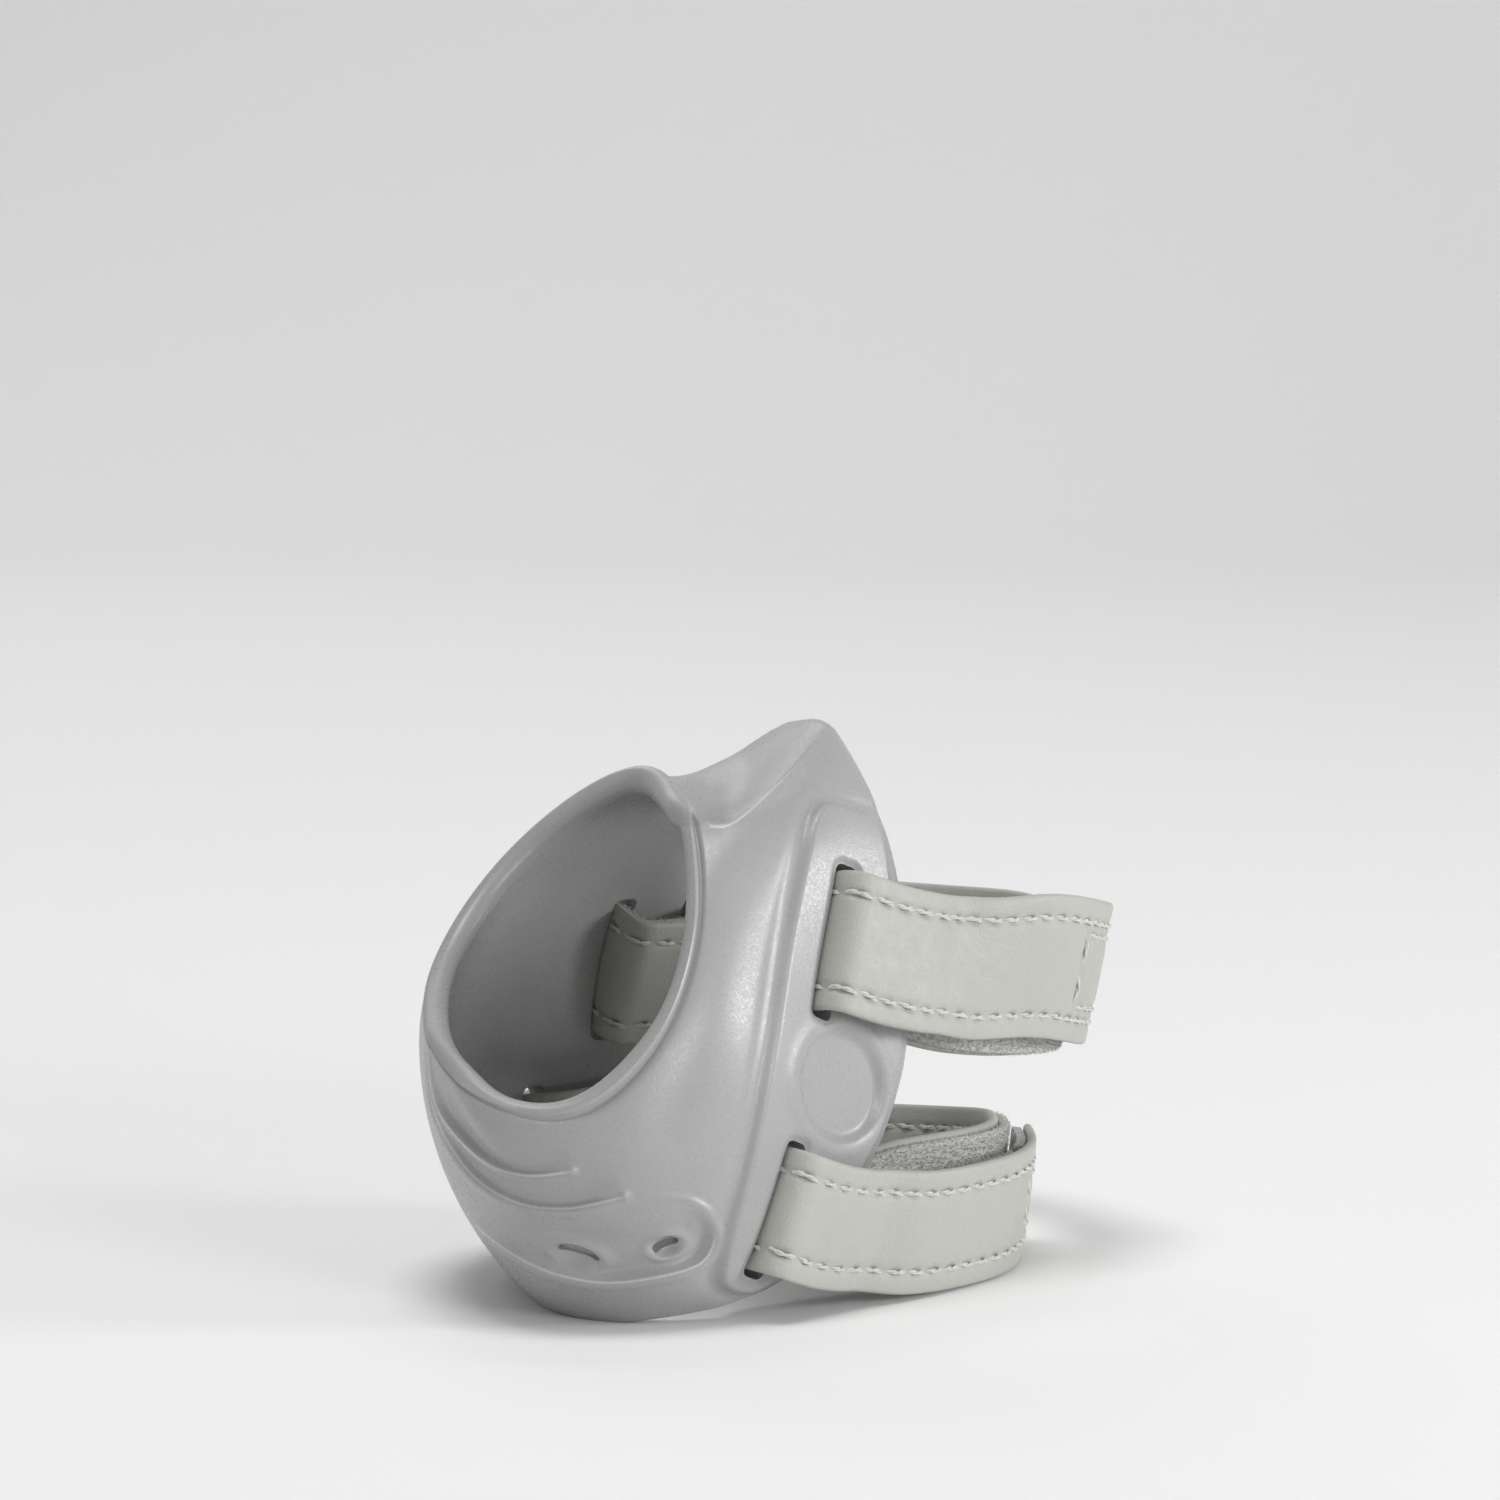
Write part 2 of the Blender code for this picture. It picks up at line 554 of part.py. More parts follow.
def layer(name, middle, across, low, high, width, colour, roughness):
    """One layer of a strap: a flat band between two distances from the strap's middle."""
    steps = unit(np.diff(middle, axis=0))
    both = np.vstack([steps[:1], steps]) + np.vstack([steps, steps[-1:]])
    outwards = unit(np.cross(across, both)) * 2 / np.linalg.norm(both, axis=1, keepdims=True)
    corners = ((-1, low), (1, low), (1, high), (-1, high))
    ring = np.stack([middle + across * side * width / 2 + outwards * rise for side, rise in corners], axis=1)
    corner = np.arange(len(ring) * 4).reshape(-1, 4).tolist()
    faces = [corner[0], corner[-1][::-1]]
    for here, there in zip(corner[:-1], corner[1:]):
        for k, after in ((0, 1), (1, 2), (3, 2), (0, 3)):
            faces += [[here[k], here[after], there[after]], [here[k], there[after], there[k]]]
    return finished(name, ring.reshape(-1, 3), faces, colour, roughness)


def slot_cutter(name, bar, width):
    """Through cut with round ends, beside the bar."""
    half = width / 2 + SLOT_CLEARANCE
    gap = slot_width()
    outline = []
    for quarter, (end, side) in enumerate(((1, 1), (-1, 1), (-1, -1), (1, -1))):
        for k in range(BEND_STEPS):
            a = math.pi / 2 * (quarter + k / (BEND_STEPS - 1))
            place = end * (half - SLOT_CORNER) + SLOT_CORNER * math.cos(a)
            outline.append((place, side * (gap / 2 - SLOT_CORNER) + SLOT_CORNER * math.sin(a) - gap / 2))
    return prism(name, outline, bar.corner, bar.along, bar.on, bar.over)


def prism(name, outline, origin, first, second, up):
    """Outline drawn on two directions and pushed right through the wall along the third."""
    reach = 3 * SHELL_WALL
    points = []
    for height in (-reach, reach):
        for a, b in outline:
            points.append(origin + first * a + second * b + up * height)
    count = len(outline)
    faces = [list(range(count)), [count + k for k in reversed(range(count))]]
    for k in range(count):
        after = (k + 1) % count
        faces.append([after, k, count + k, count + after])
    return finished(name, np.array(points), faces, None, 0)


def vent_cutter(name, vent):
    """Narrow oblong slit, cut square to the skin."""
    place = locate(drawn([vent.across, vent.up]), seen, False)
    origin = skin(*place)
    over, _ = skin_frame(*place)
    turn = math.radians(vent.turn)
    along = np.array([math.cos(turn), 0, math.sin(turn)])
    along = unit(along - over * (along @ over))
    across = np.cross(over, along)
    straight = vent.half_long - VENT_WIDTH / 2
    outline = []
    for k in range(8):
        a = 2 * math.pi * (k + 0.5) / 8
        shift = straight if math.cos(a) > 0 else -straight
        outline.append((shift + VENT_WIDTH / 2 * math.cos(a), VENT_WIDTH / 2 * math.sin(a)))
    return prism(name, outline, origin, along, across, over)


def foot_cutter():
    """Levels the wrist end of the shell, on which the splint stands."""
    far = 2 * max(SHELL_WIDTH, SHELL_DEPTH)
    outline = [(-far, -far), (far, -far), (far, 0), (-far, 0)]
    origin = np.array([SHELL_SIDE + SHELL_WIDTH / 2, SHELL_DEPTH / 2, FOOT_CUT])
    points = [origin + (a, height, b) for height in (-far, far) for a, b in outline]
    faces = [[0, 1, 2, 3], [7, 6, 5, 4], [1, 0, 4, 5], [2, 1, 5, 6], [3, 2, 6, 7], [0, 3, 7, 4]]
    return finished("foot_cutter", np.array(points), faces, None, 0)


def strap(name, outer, inner, front_bar, palm_bar, width):
    """Face, lining and hook patch of one strap."""
    middle, across = strap_route(outer, inner, front_bar, palm_bar, width)
    half_gap = STRAP_GAP / 2
    layer(name + "_face", middle, across, half_gap, half_gap + STRAP_FACE, width, (0.55, 0.55, 0.51), 0.55)
    run = np.concatenate([[0], np.cumsum(np.linalg.norm(np.diff(middle, axis=0), axis=1))])
    patch = run < HOOK_PATCH_LENGTH
    lining = run > HOOK_PATCH_LENGTH + STRAP_GAP
    lining[0] = False
    narrow = width - 2 * LINING_INSET
    low = -half_gap - STRAP_LINING
    layer(name + "_lining", middle[lining], across[lining], low, -half_gap, narrow, (0.5, 0.5, 0.49), 0.95)
    deep = -half_gap - HOOK_PATCH_THICK
    hook = name.replace("strap", "hook_patch")
    layer(hook, middle[patch], across[patch], deep, -half_gap, narrow, (0.45, 0.45, 0.44), 0.8)


def stand_on_floor(objects):
    """Puts the origin under the middle of the whole splint, on the surface that it stands on."""
    bpy.context.view_layer.update()
    graph = bpy.context.evaluated_depsgraph_get()
    places = []
    for obj in objects:
        shape = obj.evaluated_get(graph).to_mesh()
        places += [vertex.co.copy() for vertex in shape.vertices]
    places = np.array(places)
    low, high = places.min(axis=0), places.max(axis=0)
    shift = (-(low[0] + high[0]) / 2, -(low[1] + high[1]) / 2, -low[2])
    for obj in bpy.data.objects:
        for vertex in obj.data.vertices:
            vertex.co = [a + b for a, b in zip(vertex.co, shift)]


def build():
    for obj in list(bpy.data.objects):
        bpy.data.objects.remove(obj, do_unlink=True)
    grid = shell_mesh(SHELL_TURNS, SHELL_ROWS, INNER_ROWS, CAP_STEPS)
    shell = ring_object("shell", grid, (0.37, 0.37, 0.38), 0.45)
    bars = {
        "upper_front": bar_at(UPPER_SLOT, seen, drawn, False),
        "lower_front": bar_at(LOWER_SLOT, seen, drawn, False),
        "upper_palm": bar_at(UPPER_PALM_SLOT, seen_from_palm, drawn_from_palm, True),
        "lower_palm": bar_at(LOWER_PALM_SLOT, seen_from_palm, drawn_from_palm, True),
    }
    for name, bar in bars.items():
        width = UPPER_STRAP_WIDTH if name.startswith("upper") else LOWER_STRAP_WIDTH
        cut(shell, slot_cutter(name + "_slot_cutter", bar, width))
    for number, vent in enumerate(VENTS, 1):
        cut(shell, vent_cutter(f"vent_{number}_cutter", vent))
    cut(shell, foot_cutter())
    strap("upper_strap", UPPER_OUTER, UPPER_INNER, bars["upper_front"], bars["upper_palm"],
          UPPER_STRAP_WIDTH)
    strap("lower_strap", LOWER_OUTER, LOWER_INNER, bars["lower_front"], bars["lower_palm"],
          LOWER_STRAP_WIDTH)
    stand_on_floor([obj for obj in bpy.data.objects if not obj.hide_render])


build()
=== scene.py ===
"""Looks of the thumb splint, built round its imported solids."""

from collections import namedtuple
from math import cos, floor, pi, radians, sin

import bmesh
import bpy
import numpy as np
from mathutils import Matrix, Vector
from numpy.linalg import norm, solve


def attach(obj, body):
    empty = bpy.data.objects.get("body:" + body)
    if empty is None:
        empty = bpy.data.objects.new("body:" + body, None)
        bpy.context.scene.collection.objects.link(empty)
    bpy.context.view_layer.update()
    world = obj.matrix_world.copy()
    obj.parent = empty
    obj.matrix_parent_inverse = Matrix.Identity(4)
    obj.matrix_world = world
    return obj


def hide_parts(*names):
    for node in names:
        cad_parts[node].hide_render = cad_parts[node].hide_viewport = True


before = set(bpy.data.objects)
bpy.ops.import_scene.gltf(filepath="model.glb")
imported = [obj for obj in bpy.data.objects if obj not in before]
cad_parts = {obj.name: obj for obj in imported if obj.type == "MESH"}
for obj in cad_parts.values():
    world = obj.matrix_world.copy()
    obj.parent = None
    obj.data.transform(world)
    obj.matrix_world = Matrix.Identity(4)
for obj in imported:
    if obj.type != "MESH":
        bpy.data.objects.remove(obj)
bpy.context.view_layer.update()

# Moulded shell: one soft satin plastic moulding that cups the base of the thumb.
# It is cast in one piece with its rim bead, raised panel, finger grooves, dished oval and vents,
# and the four strap slots go right through its wall.
MOULD_ZERO = np.array([-0.00091085, -0.04432488, 0.00062895])
SHELL_WIDTH = 0.052
SHELL_DEPTH = 0.064
SHELL_HEIGHT = 0.060
SHELL_WALL = 0.0026
FRONT_FADE = (-0.05, 0.35)
SHELL_SIDE = -0.037
FOOT_CUT = -0.0006
SIGHT_RISE = 0.14
SIGHT_DEPTH = 0.010
RIM_BEAD_WIDTH = 0.0018
RIM_BEAD_RISE = 0.0005
RIM_CREASE = 0.00042
BEAD_MIDDLE = 5.5
BEAD_FADE = (6.5, 4.0)
BEAD_LOW = 0.45
PANEL_RISE = 0.0008
PANEL_FILLET = 0.0010
PANEL_GUTTER = 0.00020
GROOVE_WIDTH = 0.0038
GROOVE_WALL = 0.0005
GROOVE_DEPTH = 0.00070
GROOVE_LIP = 0.00024
GROOVE_NUB = 1.5
GROOVE_START = 0.3
GROOVE_STOP = 0.86
CHANNEL_SLOPE = 0.0034
CHANNEL_DEPTH = 0.0011
CHANNEL_LIP = 0.0008
DISH_DEPTH = 0.0006
DISH_FILLET = 0.0010
DISH_LIP = 0.00015
DIMPLE_DEPTH = 0.0007
DIMPLE_FADE = (0.45, 1.1)
RIDGE_RISE = 0.00035
RIDGE_WIDTH = 0.0010
RIDGE_HOLLOW = 0.0006
NOTCH_FADE = 0.004
VENT_WIDTH = 0.0010
VENT_LIP = 0.00042
VENT_LIP_WIDTH = 0.00055
VENT_STEPS = 16
SLOT_EDGE_ROUND = 0.0005
FRONT_TURNS = 410
PALM_TURNS = 84
SHELL_ROWS = 166
INNER_ROWS = 16
CAP_STEPS = 6
ROW_CROWD = 1.08
PALM_START = 8
PALM_STOP = 13.5
LINE_STEPS = 8
PANEL_STEPS = 6
SHARP_SHELL = 42
# Painted shade: a darker grey laid over the wing above the parting line, where the shell turns away from the
# light.
WING_SHADE_GREY = (0.25, 0.25, 0.253)
WING_SHADE = 0.8
# Painted highlight: light grey lines along the groove, channel and parting edges, where the real edges catch
# the light.
HIGHLIGHT_LINE_GREY = (0.66, 0.66, 0.66)
HIGHLIGHT_LINE_WEIGHT = 0.75
LINE_HALF_WIDTH = 0.00024

# Places of each section from the rim over the face to the edge, as shares of width, depth and height.
SECTIONS = {
    "heel": ((0.262, 0.02, 0.401), (0.302, 0.005, 0.26), (0.345, 0.055, 0.112), (0.458, 0.156, -0.02)),
    "heel_back": ((0.362, 0.023, 0.43), (0.481, 0.019, 0.267), (0.56, 0.078, 0.105), (0.67, 0.188, 0.018)),
    "panel_foot": ((0.457, 0.05, 0.499), (0.596, 0.066, 0.355), (0.721, 0.164, 0.196), (0.823, 0.273, 0.091)),
    "panel_low": ((0.52, 0.094, 0.581), (0.664, 0.117, 0.495), (0.813, 0.242, 0.378), (0.952, 0.367, 0.257)),
    "panel_mid": ((0.554, 0.153, 0.692), (0.69, 0.178, 0.644), (0.844, 0.30, 0.573), (1.021, 0.422, 0.501)),
    "panel_top": ((0.553, 0.227, 0.793), (0.684, 0.235, 0.784), (0.834, 0.33, 0.777), (0.996, 0.445, 0.757)),
    "wing": ((0.54, 0.312, 0.871), (0.656, 0.31, 0.863), (0.793, 0.38, 0.898), (0.925, 0.492, 0.921)),
    "ridge": ((0.518, 0.391, 0.904), (0.623, 0.44, 0.879), (0.732, 0.49, 0.938), (0.849, 0.562, 1.011)),
    "web": ((0.484, 0.461, 0.928), (0.576, 0.609, 0.902), (0.67, 0.688, 0.948), (0.765, 0.734, 0.985)),
    "web_palm": ((0.421, 0.531, 0.924), (0.469, 0.719, 0.862), (0.553, 0.812, 0.832), (0.648, 0.859, 0.854)),
    "palm_top": ((0.294, 0.586, 0.859), (0.31, 0.75, 0.75), (0.40, 0.875, 0.67), (0.529, 0.965, 0.665)),
    "palm_mid": ((0.139, 0.555, 0.736), (0.14, 0.72, 0.58), (0.25, 0.87, 0.46), (0.442, 1.0, 0.414)),
    "palm_low": ((0.04, 0.438, 0.607), (0.02, 0.64, 0.41), (0.13, 0.80, 0.235), (0.367, 0.92, 0.145)),
    "cup_back": ((0.02, 0.281, 0.519), (0.0, 0.453, 0.369), (0.075, 0.60, 0.145), (0.32, 0.76, -0.02)),
    "cup_side": ((0.056, 0.148, 0.459), (0.051, 0.227, 0.318), (0.128, 0.344, 0.10), (0.30, 0.52, -0.055)),
    "cup_front": ((0.151, 0.055, 0.411), (0.16, 0.062, 0.285), (0.215, 0.141, 0.095), (0.345, 0.30, -0.05)),
}
PANEL_OUTLINE = (
    (0.817, 0.90), (0.781, 0.79), (0.749, 0.65), (0.721, 0.49), (0.688, 0.33), (0.656, 0.215),
    (0.628, 0.126), (0.62, 0.068), (0.66, 0.044), (0.717, 0.057), (0.812, 0.13), (0.919, 0.277),
    (0.973, 0.40), (0.991, 0.49), (0.982, 0.63), (0.966, 0.77), (0.942, 0.872), (0.881, 0.90),
)
UPPER_GROOVE = ((0.024, 0.542), (0.035, 0.401), (0.075, 0.33), (0.155, 0.273), (0.236, 0.254), (0.327, 0.261))
LOWER_GROOVE = ((0.023, 0.418), (0.055, 0.33), (0.125, 0.25), (0.216, 0.206), (0.317, 0.197), (0.432, 0.217))
CHANNEL_EDGE = (
    (0.114, 0.162), (0.165, 0.13), (0.266, 0.085), (0.377, 0.064), (0.478, 0.071), (0.579, 0.096),
    (0.61, 0.144), (0.590, 0.184), (0.545, 0.205), (0.490, 0.207), (0.440, 0.198),
)
CHANNEL_TOP = (
    (0.053, 0.277), (0.175, 0.220), (0.297, 0.187), (0.418, 0.176), (0.509, 0.188), (0.560, 0.197),
    (0.600, 0.188),
)
PARTING_RIDGE = ((0.596, 0.869), (0.65, 0.876), (0.741, 0.949), (0.845, 1.049))
Oval = namedtuple("Oval", "across up half_long half_short turn")
DISH = Oval(0.858, 0.408, 0.0058, 0.0042, 96)
DIMPLES = (Oval(0.328, 0.101, 0.0032, 0.0013, -18), Oval(0.519, 0.121, 0.0025, 0.0013, 12))
VENTS = (Oval(0.333, 0.103, 0.0023, 0.0005, -12), Oval(0.519, 0.12, 0.0015, 0.0005, 16))
UPPER_SLOT = ((0.824, 0.670), (0.851, 0.802))
LOWER_SLOT = ((0.711, 0.195), (0.747, 0.298))
UPPER_PALM_SLOT = ((0.90, 0.53), (0.855, 0.67))
LOWER_PALM_SLOT = ((0.82, 0.165), (0.83, 0.30))
STRAP_FACE = 0.0010
STRAP_LINING = 0.0012
STRAP_GAP = 0.0003
UPPER_STRAP_WIDTH = 0.0155
LOWER_STRAP_WIDTH = 0.0136
SLOT_CLEARANCE = 0.00075
SLOT_CORNER = 0.0009
SLOT_WIDTH = STRAP_FACE + STRAP_LINING + 3 * STRAP_GAP + 0.0001
SLOT_CORNER_STEPS = 5


def spread(points, sizes):
    """Shares turned into real lengths."""
    return np.array(points, float) * np.array(sizes)


def unit(vectors):
    return vectors / norm(vectors, axis=-1, keepdims=True)


def mould_ring():
    """Control values of the smooth closed skin that runs through the sections in turn."""
    points = spread(list(SECTIONS.values()), (SHELL_WIDTH, SHELL_DEPTH, SHELL_HEIGHT))
    points[..., 0] += SHELL_SIDE
    count = len(points)
    blend = np.zeros((count, count))
    for row in range(count):
        blend[row, row] = 4 / 6
        blend[row, (row + 1) % count] += 1 / 6
        blend[row, row - 1] += 1 / 6
    return solve(blend, points.reshape(count, -1)).reshape(points.shape)


RING = mould_ring()


def skin(turn, out):
    """Point of the plain skin: turn counts sections round the opening, out runs from rim to edge."""
    turn, out = np.broadcast_arrays(np.asarray(turn, float), np.asarray(out, float))
    first = np.floor(turn).astype(int)
    f = turn - first
    here, there = 3 * f**3 - 6 * f**2 + 4, 1 + 3 * f + 3 * f**2 - 3 * f**3
    weights = ((1 - f) ** 3 / 6, here / 6, there / 6, f**3 / 6)
    four = sum(w[..., None, None] * RING[(first + k - 1) % len(SECTIONS)] for k, w in enumerate(weights))
    a, b, c, d = out * 3, out * 3 - 1, out * 3 - 2, out * 3 - 3
    shares = (-b * c * d / 6, a * c * d / 2, -a * b * d / 2, a * b * c / 6)
    return sum(w[..., None] * four[..., k, :] for k, w in enumerate(shares))


def skin_frame(turn, out):
    """Outward normal of the skin, and the direction in which it runs out to the edge."""
    step = 1e-3
    along = skin(turn + step, out) - skin(turn - step, out)
    outwards = skin(turn, out + step) - skin(turn, out - step)
    return unit(np.cross(outwards, along)), unit(outwards)


def seen(points):
    """Where points lie in the square-on view of the thumb side."""
    rise = SIGHT_RISE * (points[..., 1] - SIGHT_DEPTH)
    return np.stack([points[..., 0], points[..., 2] + rise], -1)


def drawn(shares):
    """Outline shares turned into places in that view."""
    return spread(shares, (SHELL_WIDTH, SHELL_HEIGHT)) + (SHELL_SIDE, 0)


NOTCH = drawn(PARTING_RIDGE[0])[0]


def seen_from_palm(points):
    return points[..., 1:]


def drawn_from_palm(shares):
    return spread(shares, (SHELL_DEPTH, SHELL_HEIGHT))


THUMB_SIDE = (seen, drawn, False)
PALM_SIDE = (seen_from_palm, drawn_from_palm, True)


def ramp(x, low, high):
    """Smooth climb from 0 at low to 1 at high."""
    t = np.clip((x - low) / (high - low), 0, 1)
    return t * t * (3 - 2 * t)


def rise(x, width):
    """Smooth climb from 0 to 1, centred on 0."""
    return ramp(x, -0.5 * width, 0.5 * width)


def within(share, start, stop, end):
    """1 along most of a line, fading in up to start and out from stop to end."""
    return ramp(share, 0, start) * (1 - ramp(share, stop, end))


def bell(x, middle, width):
    """1 at the middle, falling to nothing on both sides."""
    return np.exp(-(((x - middle) / width) ** 2))


def rounded(points, steps, closed=False):
    """Smooth curve through a few points, as many short straight runs."""
    points = np.asarray(points, float)
    before, after = (points[-1:], points[:2]) if closed else (points[:1], points[-1:])
    near = np.concatenate([before, points, after])
    t = (np.arange(steps) / steps)[:, None]
    runs = []
    for p0, p1, p2, p3 in zip(near, near[1:], near[2:], near[3:]):
        bend = 2 * p0 - 5 * p1 + 4 * p2 - p3
        turn = -p0 + 3 * p1 - 3 * p2 + p3
        runs.append(p1 + 0.5 * (t * (p2 - p0) + t * t * bend + t**3 * turn))
    return np.concatenate(runs if closed else [*runs, points[-1:]])


def beside(places, path):
    """Distance to a path, share of its length at the nearest place, and side it is on."""
    best = np.full(len(places), np.inf)
    share = np.zeros(len(places))
    side = np.ones(len(places))
    for run in range(len(path) - 1):
        start, along = path[run], path[run + 1] - path[run]
        offset = places - start
        t = np.clip(offset @ along / (along @ along), 0, 1)
        gap = norm(offset - t[:, None] * along, axis=1)
        nearer = gap < best
        best[nearer] = gap[nearer]
        share[nearer] = ((run + t) / (len(path) - 1))[nearer]
        side[nearer] = np.sign(along[0] * offset[:, 1] - along[1] * offset[:, 0])[nearer]
    return best, share, side


def off_line(places, line):
    """Signed distance to a smooth line, the share of its length there, and the plain gap."""
    gap, share, side = beside(places, rounded(drawn(line), LINE_STEPS))
    return gap * side, share, gap


def depth_inside(places, outline):
    """Distance in from a closed outline, negative outside it."""
    loop = np.vstack([outline, outline[:1]])
    gap, _, _ = beside(places, loop)
    crossings = np.zeros(len(places), int)
    for (x0, y0), (x1, y1) in zip(loop[:-1], loop[1:]):
        spans = (y0 > places[:, 1]) != (y1 > places[:, 1])
        level = np.where(spans, (places[:, 1] - y0) / (y1 - y0 if y1 != y0 else 1), 0)
        crossings += spans & (places[:, 0] < x0 + level * (x1 - x0))
    return np.where(crossings % 2, gap, -gap)


def oval_reach(places, oval):
    """1 on the oval's outline, 0 at its middle."""
    turn = radians(oval.turn)
    offset = places - drawn([oval.across, oval.up])
    long = offset @ (cos(turn), sin(turn)) / oval.half_long
    short = offset @ (-sin(turn), cos(turn)) / oval.half_short
    return np.hypot(long, short)


def groove(places, line):
    """A finger groove: it sinks slowly to a steep lower wall with a rounded end."""
    above, share, _ = off_line(places, line)
    bowl = rise(above, GROOVE_WALL) * (1 - ramp(above, GROOVE_WALL, GROOVE_WIDTH))
    end = norm(places - drawn(line[-1]), axis=1)
    fade = within(share, GROOVE_START, GROOVE_STOP, 1)
    lip = bell(above, -GROOVE_WALL, GROOVE_WALL) * fade + GROOVE_NUB * bell(end, 0, GROOVE_WALL)
    return GROOVE_LIP * lip - GROOVE_DEPTH * bowl * fade


def mould_relief(points, normals, from_rim, turns, bars):
    """Height of the raised and sunken detail above the plain skin."""
    half = len(SECTIONS) / 2
    from_bead = np.abs((turns - BEAD_MIDDLE + half) % (2 * half) - half)
    full = BEAD_LOW + (1 - BEAD_LOW) * ramp(from_bead, *BEAD_FADE)
    height = RIM_BEAD_RISE * full * (1 - np.clip(from_rim / RIM_BEAD_WIDTH, 0, 1) ** 4) ** 0.5
    height -= RIM_CREASE * full * bell(from_rim, 1.15 * RIM_BEAD_WIDTH, 0.27 * RIM_BEAD_WIDTH)
    places = seen(points)
    panel = depth_inside(places, rounded(drawn(PANEL_OUTLINE), PANEL_STEPS, closed=True))
    front = PANEL_RISE * rise(panel, PANEL_FILLET)
    front -= PANEL_GUTTER * bell(panel, -PANEL_FILLET, 0.7 * PANEL_FILLET)
    front += groove(places, UPPER_GROOVE) + groove(places, LOWER_GROOVE)
    low, share, _ = off_line(places, CHANNEL_EDGE)
    high, _, _ = off_line(places, CHANNEL_TOP)
    lip = bell(low / CHANNEL_LIP, -0.6, 0.5) * within(share, 0.15, 0.7, 0.95)
    front += GROOVE_LIP * lip
    sunk = ramp(low, -0.3 * CHANNEL_LIP, CHANNEL_LIP) * ramp(-high, -0.2 * CHANNEL_SLOPE, CHANNEL_SLOPE)
    front -= CHANNEL_DEPTH * sunk * ramp(share, 0, 0.2)
    dish = (oval_reach(places, DISH) - 1) * DISH.half_short
    front -= DISH_DEPTH * (1 - rise(dish, DISH_FILLET))
    front += DISH_LIP * bell(dish, DISH_FILLET, 0.6 * DISH_FILLET)
    for dimple, vent in zip(DIMPLES, VENTS):
        front -= DIMPLE_DEPTH * (1 - ramp(oval_reach(places, dimple), *DIMPLE_FADE))
        rim = (oval_reach(places, vent._replace(half_short=VENT_WIDTH)) - 1) * VENT_WIDTH
        front += VENT_LIP * bell(rim, 0.4 * VENT_LIP_WIDTH, VENT_LIP_WIDTH)
    off, _, gap = off_line(places, PARTING_RIDGE)
    hollow = ramp(off, 0, 4 * RIDGE_WIDTH) * (1 - ramp(off, 6 * RIDGE_WIDTH, 12 * RIDGE_WIDTH))
    ridge = RIDGE_RISE * np.exp(-gap / RIDGE_WIDTH) - RIDGE_HOLLOW * hollow
    front += ridge * ramp(places[:, 0], NOTCH, NOTCH + NOTCH_FADE)
    height = height + front * (1 - ramp(normals[:, 1], *FRONT_FADE))
    for bar, width in bars:
        offset = points - bar.corner
        up = np.abs(offset @ bar.along) - width / 2 - SLOT_CLEARANCE + SLOT_CORNER
        on = np.abs(offset @ bar.on + SLOT_WIDTH / 2) - SLOT_WIDTH / 2 + SLOT_CORNER
        out = np.hypot(np.maximum(up, 0), np.maximum(on, 0)) - SLOT_CORNER
        near = (np.abs(offset @ bar.over) < 4 * SHELL_WALL) * (1 - ramp(out, 0, 1.6 * SLOT_EDGE_ROUND))
        height -= 0.6 * SLOT_EDGE_ROUND * near
    return height


def locate(wanted, measure, palm):
    """Turn and out of the place on the skin whose measure is the wanted pair."""
    turns, outs = np.meshgrid(np.arange(0, len(SECTIONS), 0.125), np.linspace(0.02, 0.98, 25), indexing="ij")
    normals, _ = skin_frame(turns, outs)
    miss = norm(measure(skin(turns, outs)) - wanted, axis=-1)
    miss[(normals[..., 1] > 0.1) != palm] += 1
    spot = np.unravel_index(np.argmin(miss), miss.shape)
    place = np.array([turns[spot], outs[spot]])
    step = 1e-4
    for _ in range(12):
        here = measure(skin(*place))
        slope = [(measure(skin(*(place + way))) - here) / step for way in step * np.eye(2)]
        place = place - solve(np.transpose(slope), here - wanted)
    return place


# A bar is what a strap folds over: along runs up the slot, over is outwards, on runs across the
# bar from the slot to the shell's edge, and corner is the slot's middle on the bar's own side.
Bar = namedtuple("Bar", "corner along over on turn")


def bar_at(slot, measure, scale, palm):
    """The bar beside a slot, given by its middle and a place above it."""
    ends = [locate(scale(place), measure, palm) for place in slot]
    middle, upper = skin(*ends[0]), skin(*ends[1])
    along = unit(upper - middle)
    if along[2] < 0:
        along = -along
    normal, outwards = skin_frame(*ends[0])
    over = unit(normal - along * (normal @ along))
    on = np.cross(over, along)
    if on @ outwards < 0:
        on = -on
    return Bar(middle + on * SLOT_WIDTH, along, over, on, ends[0][0])


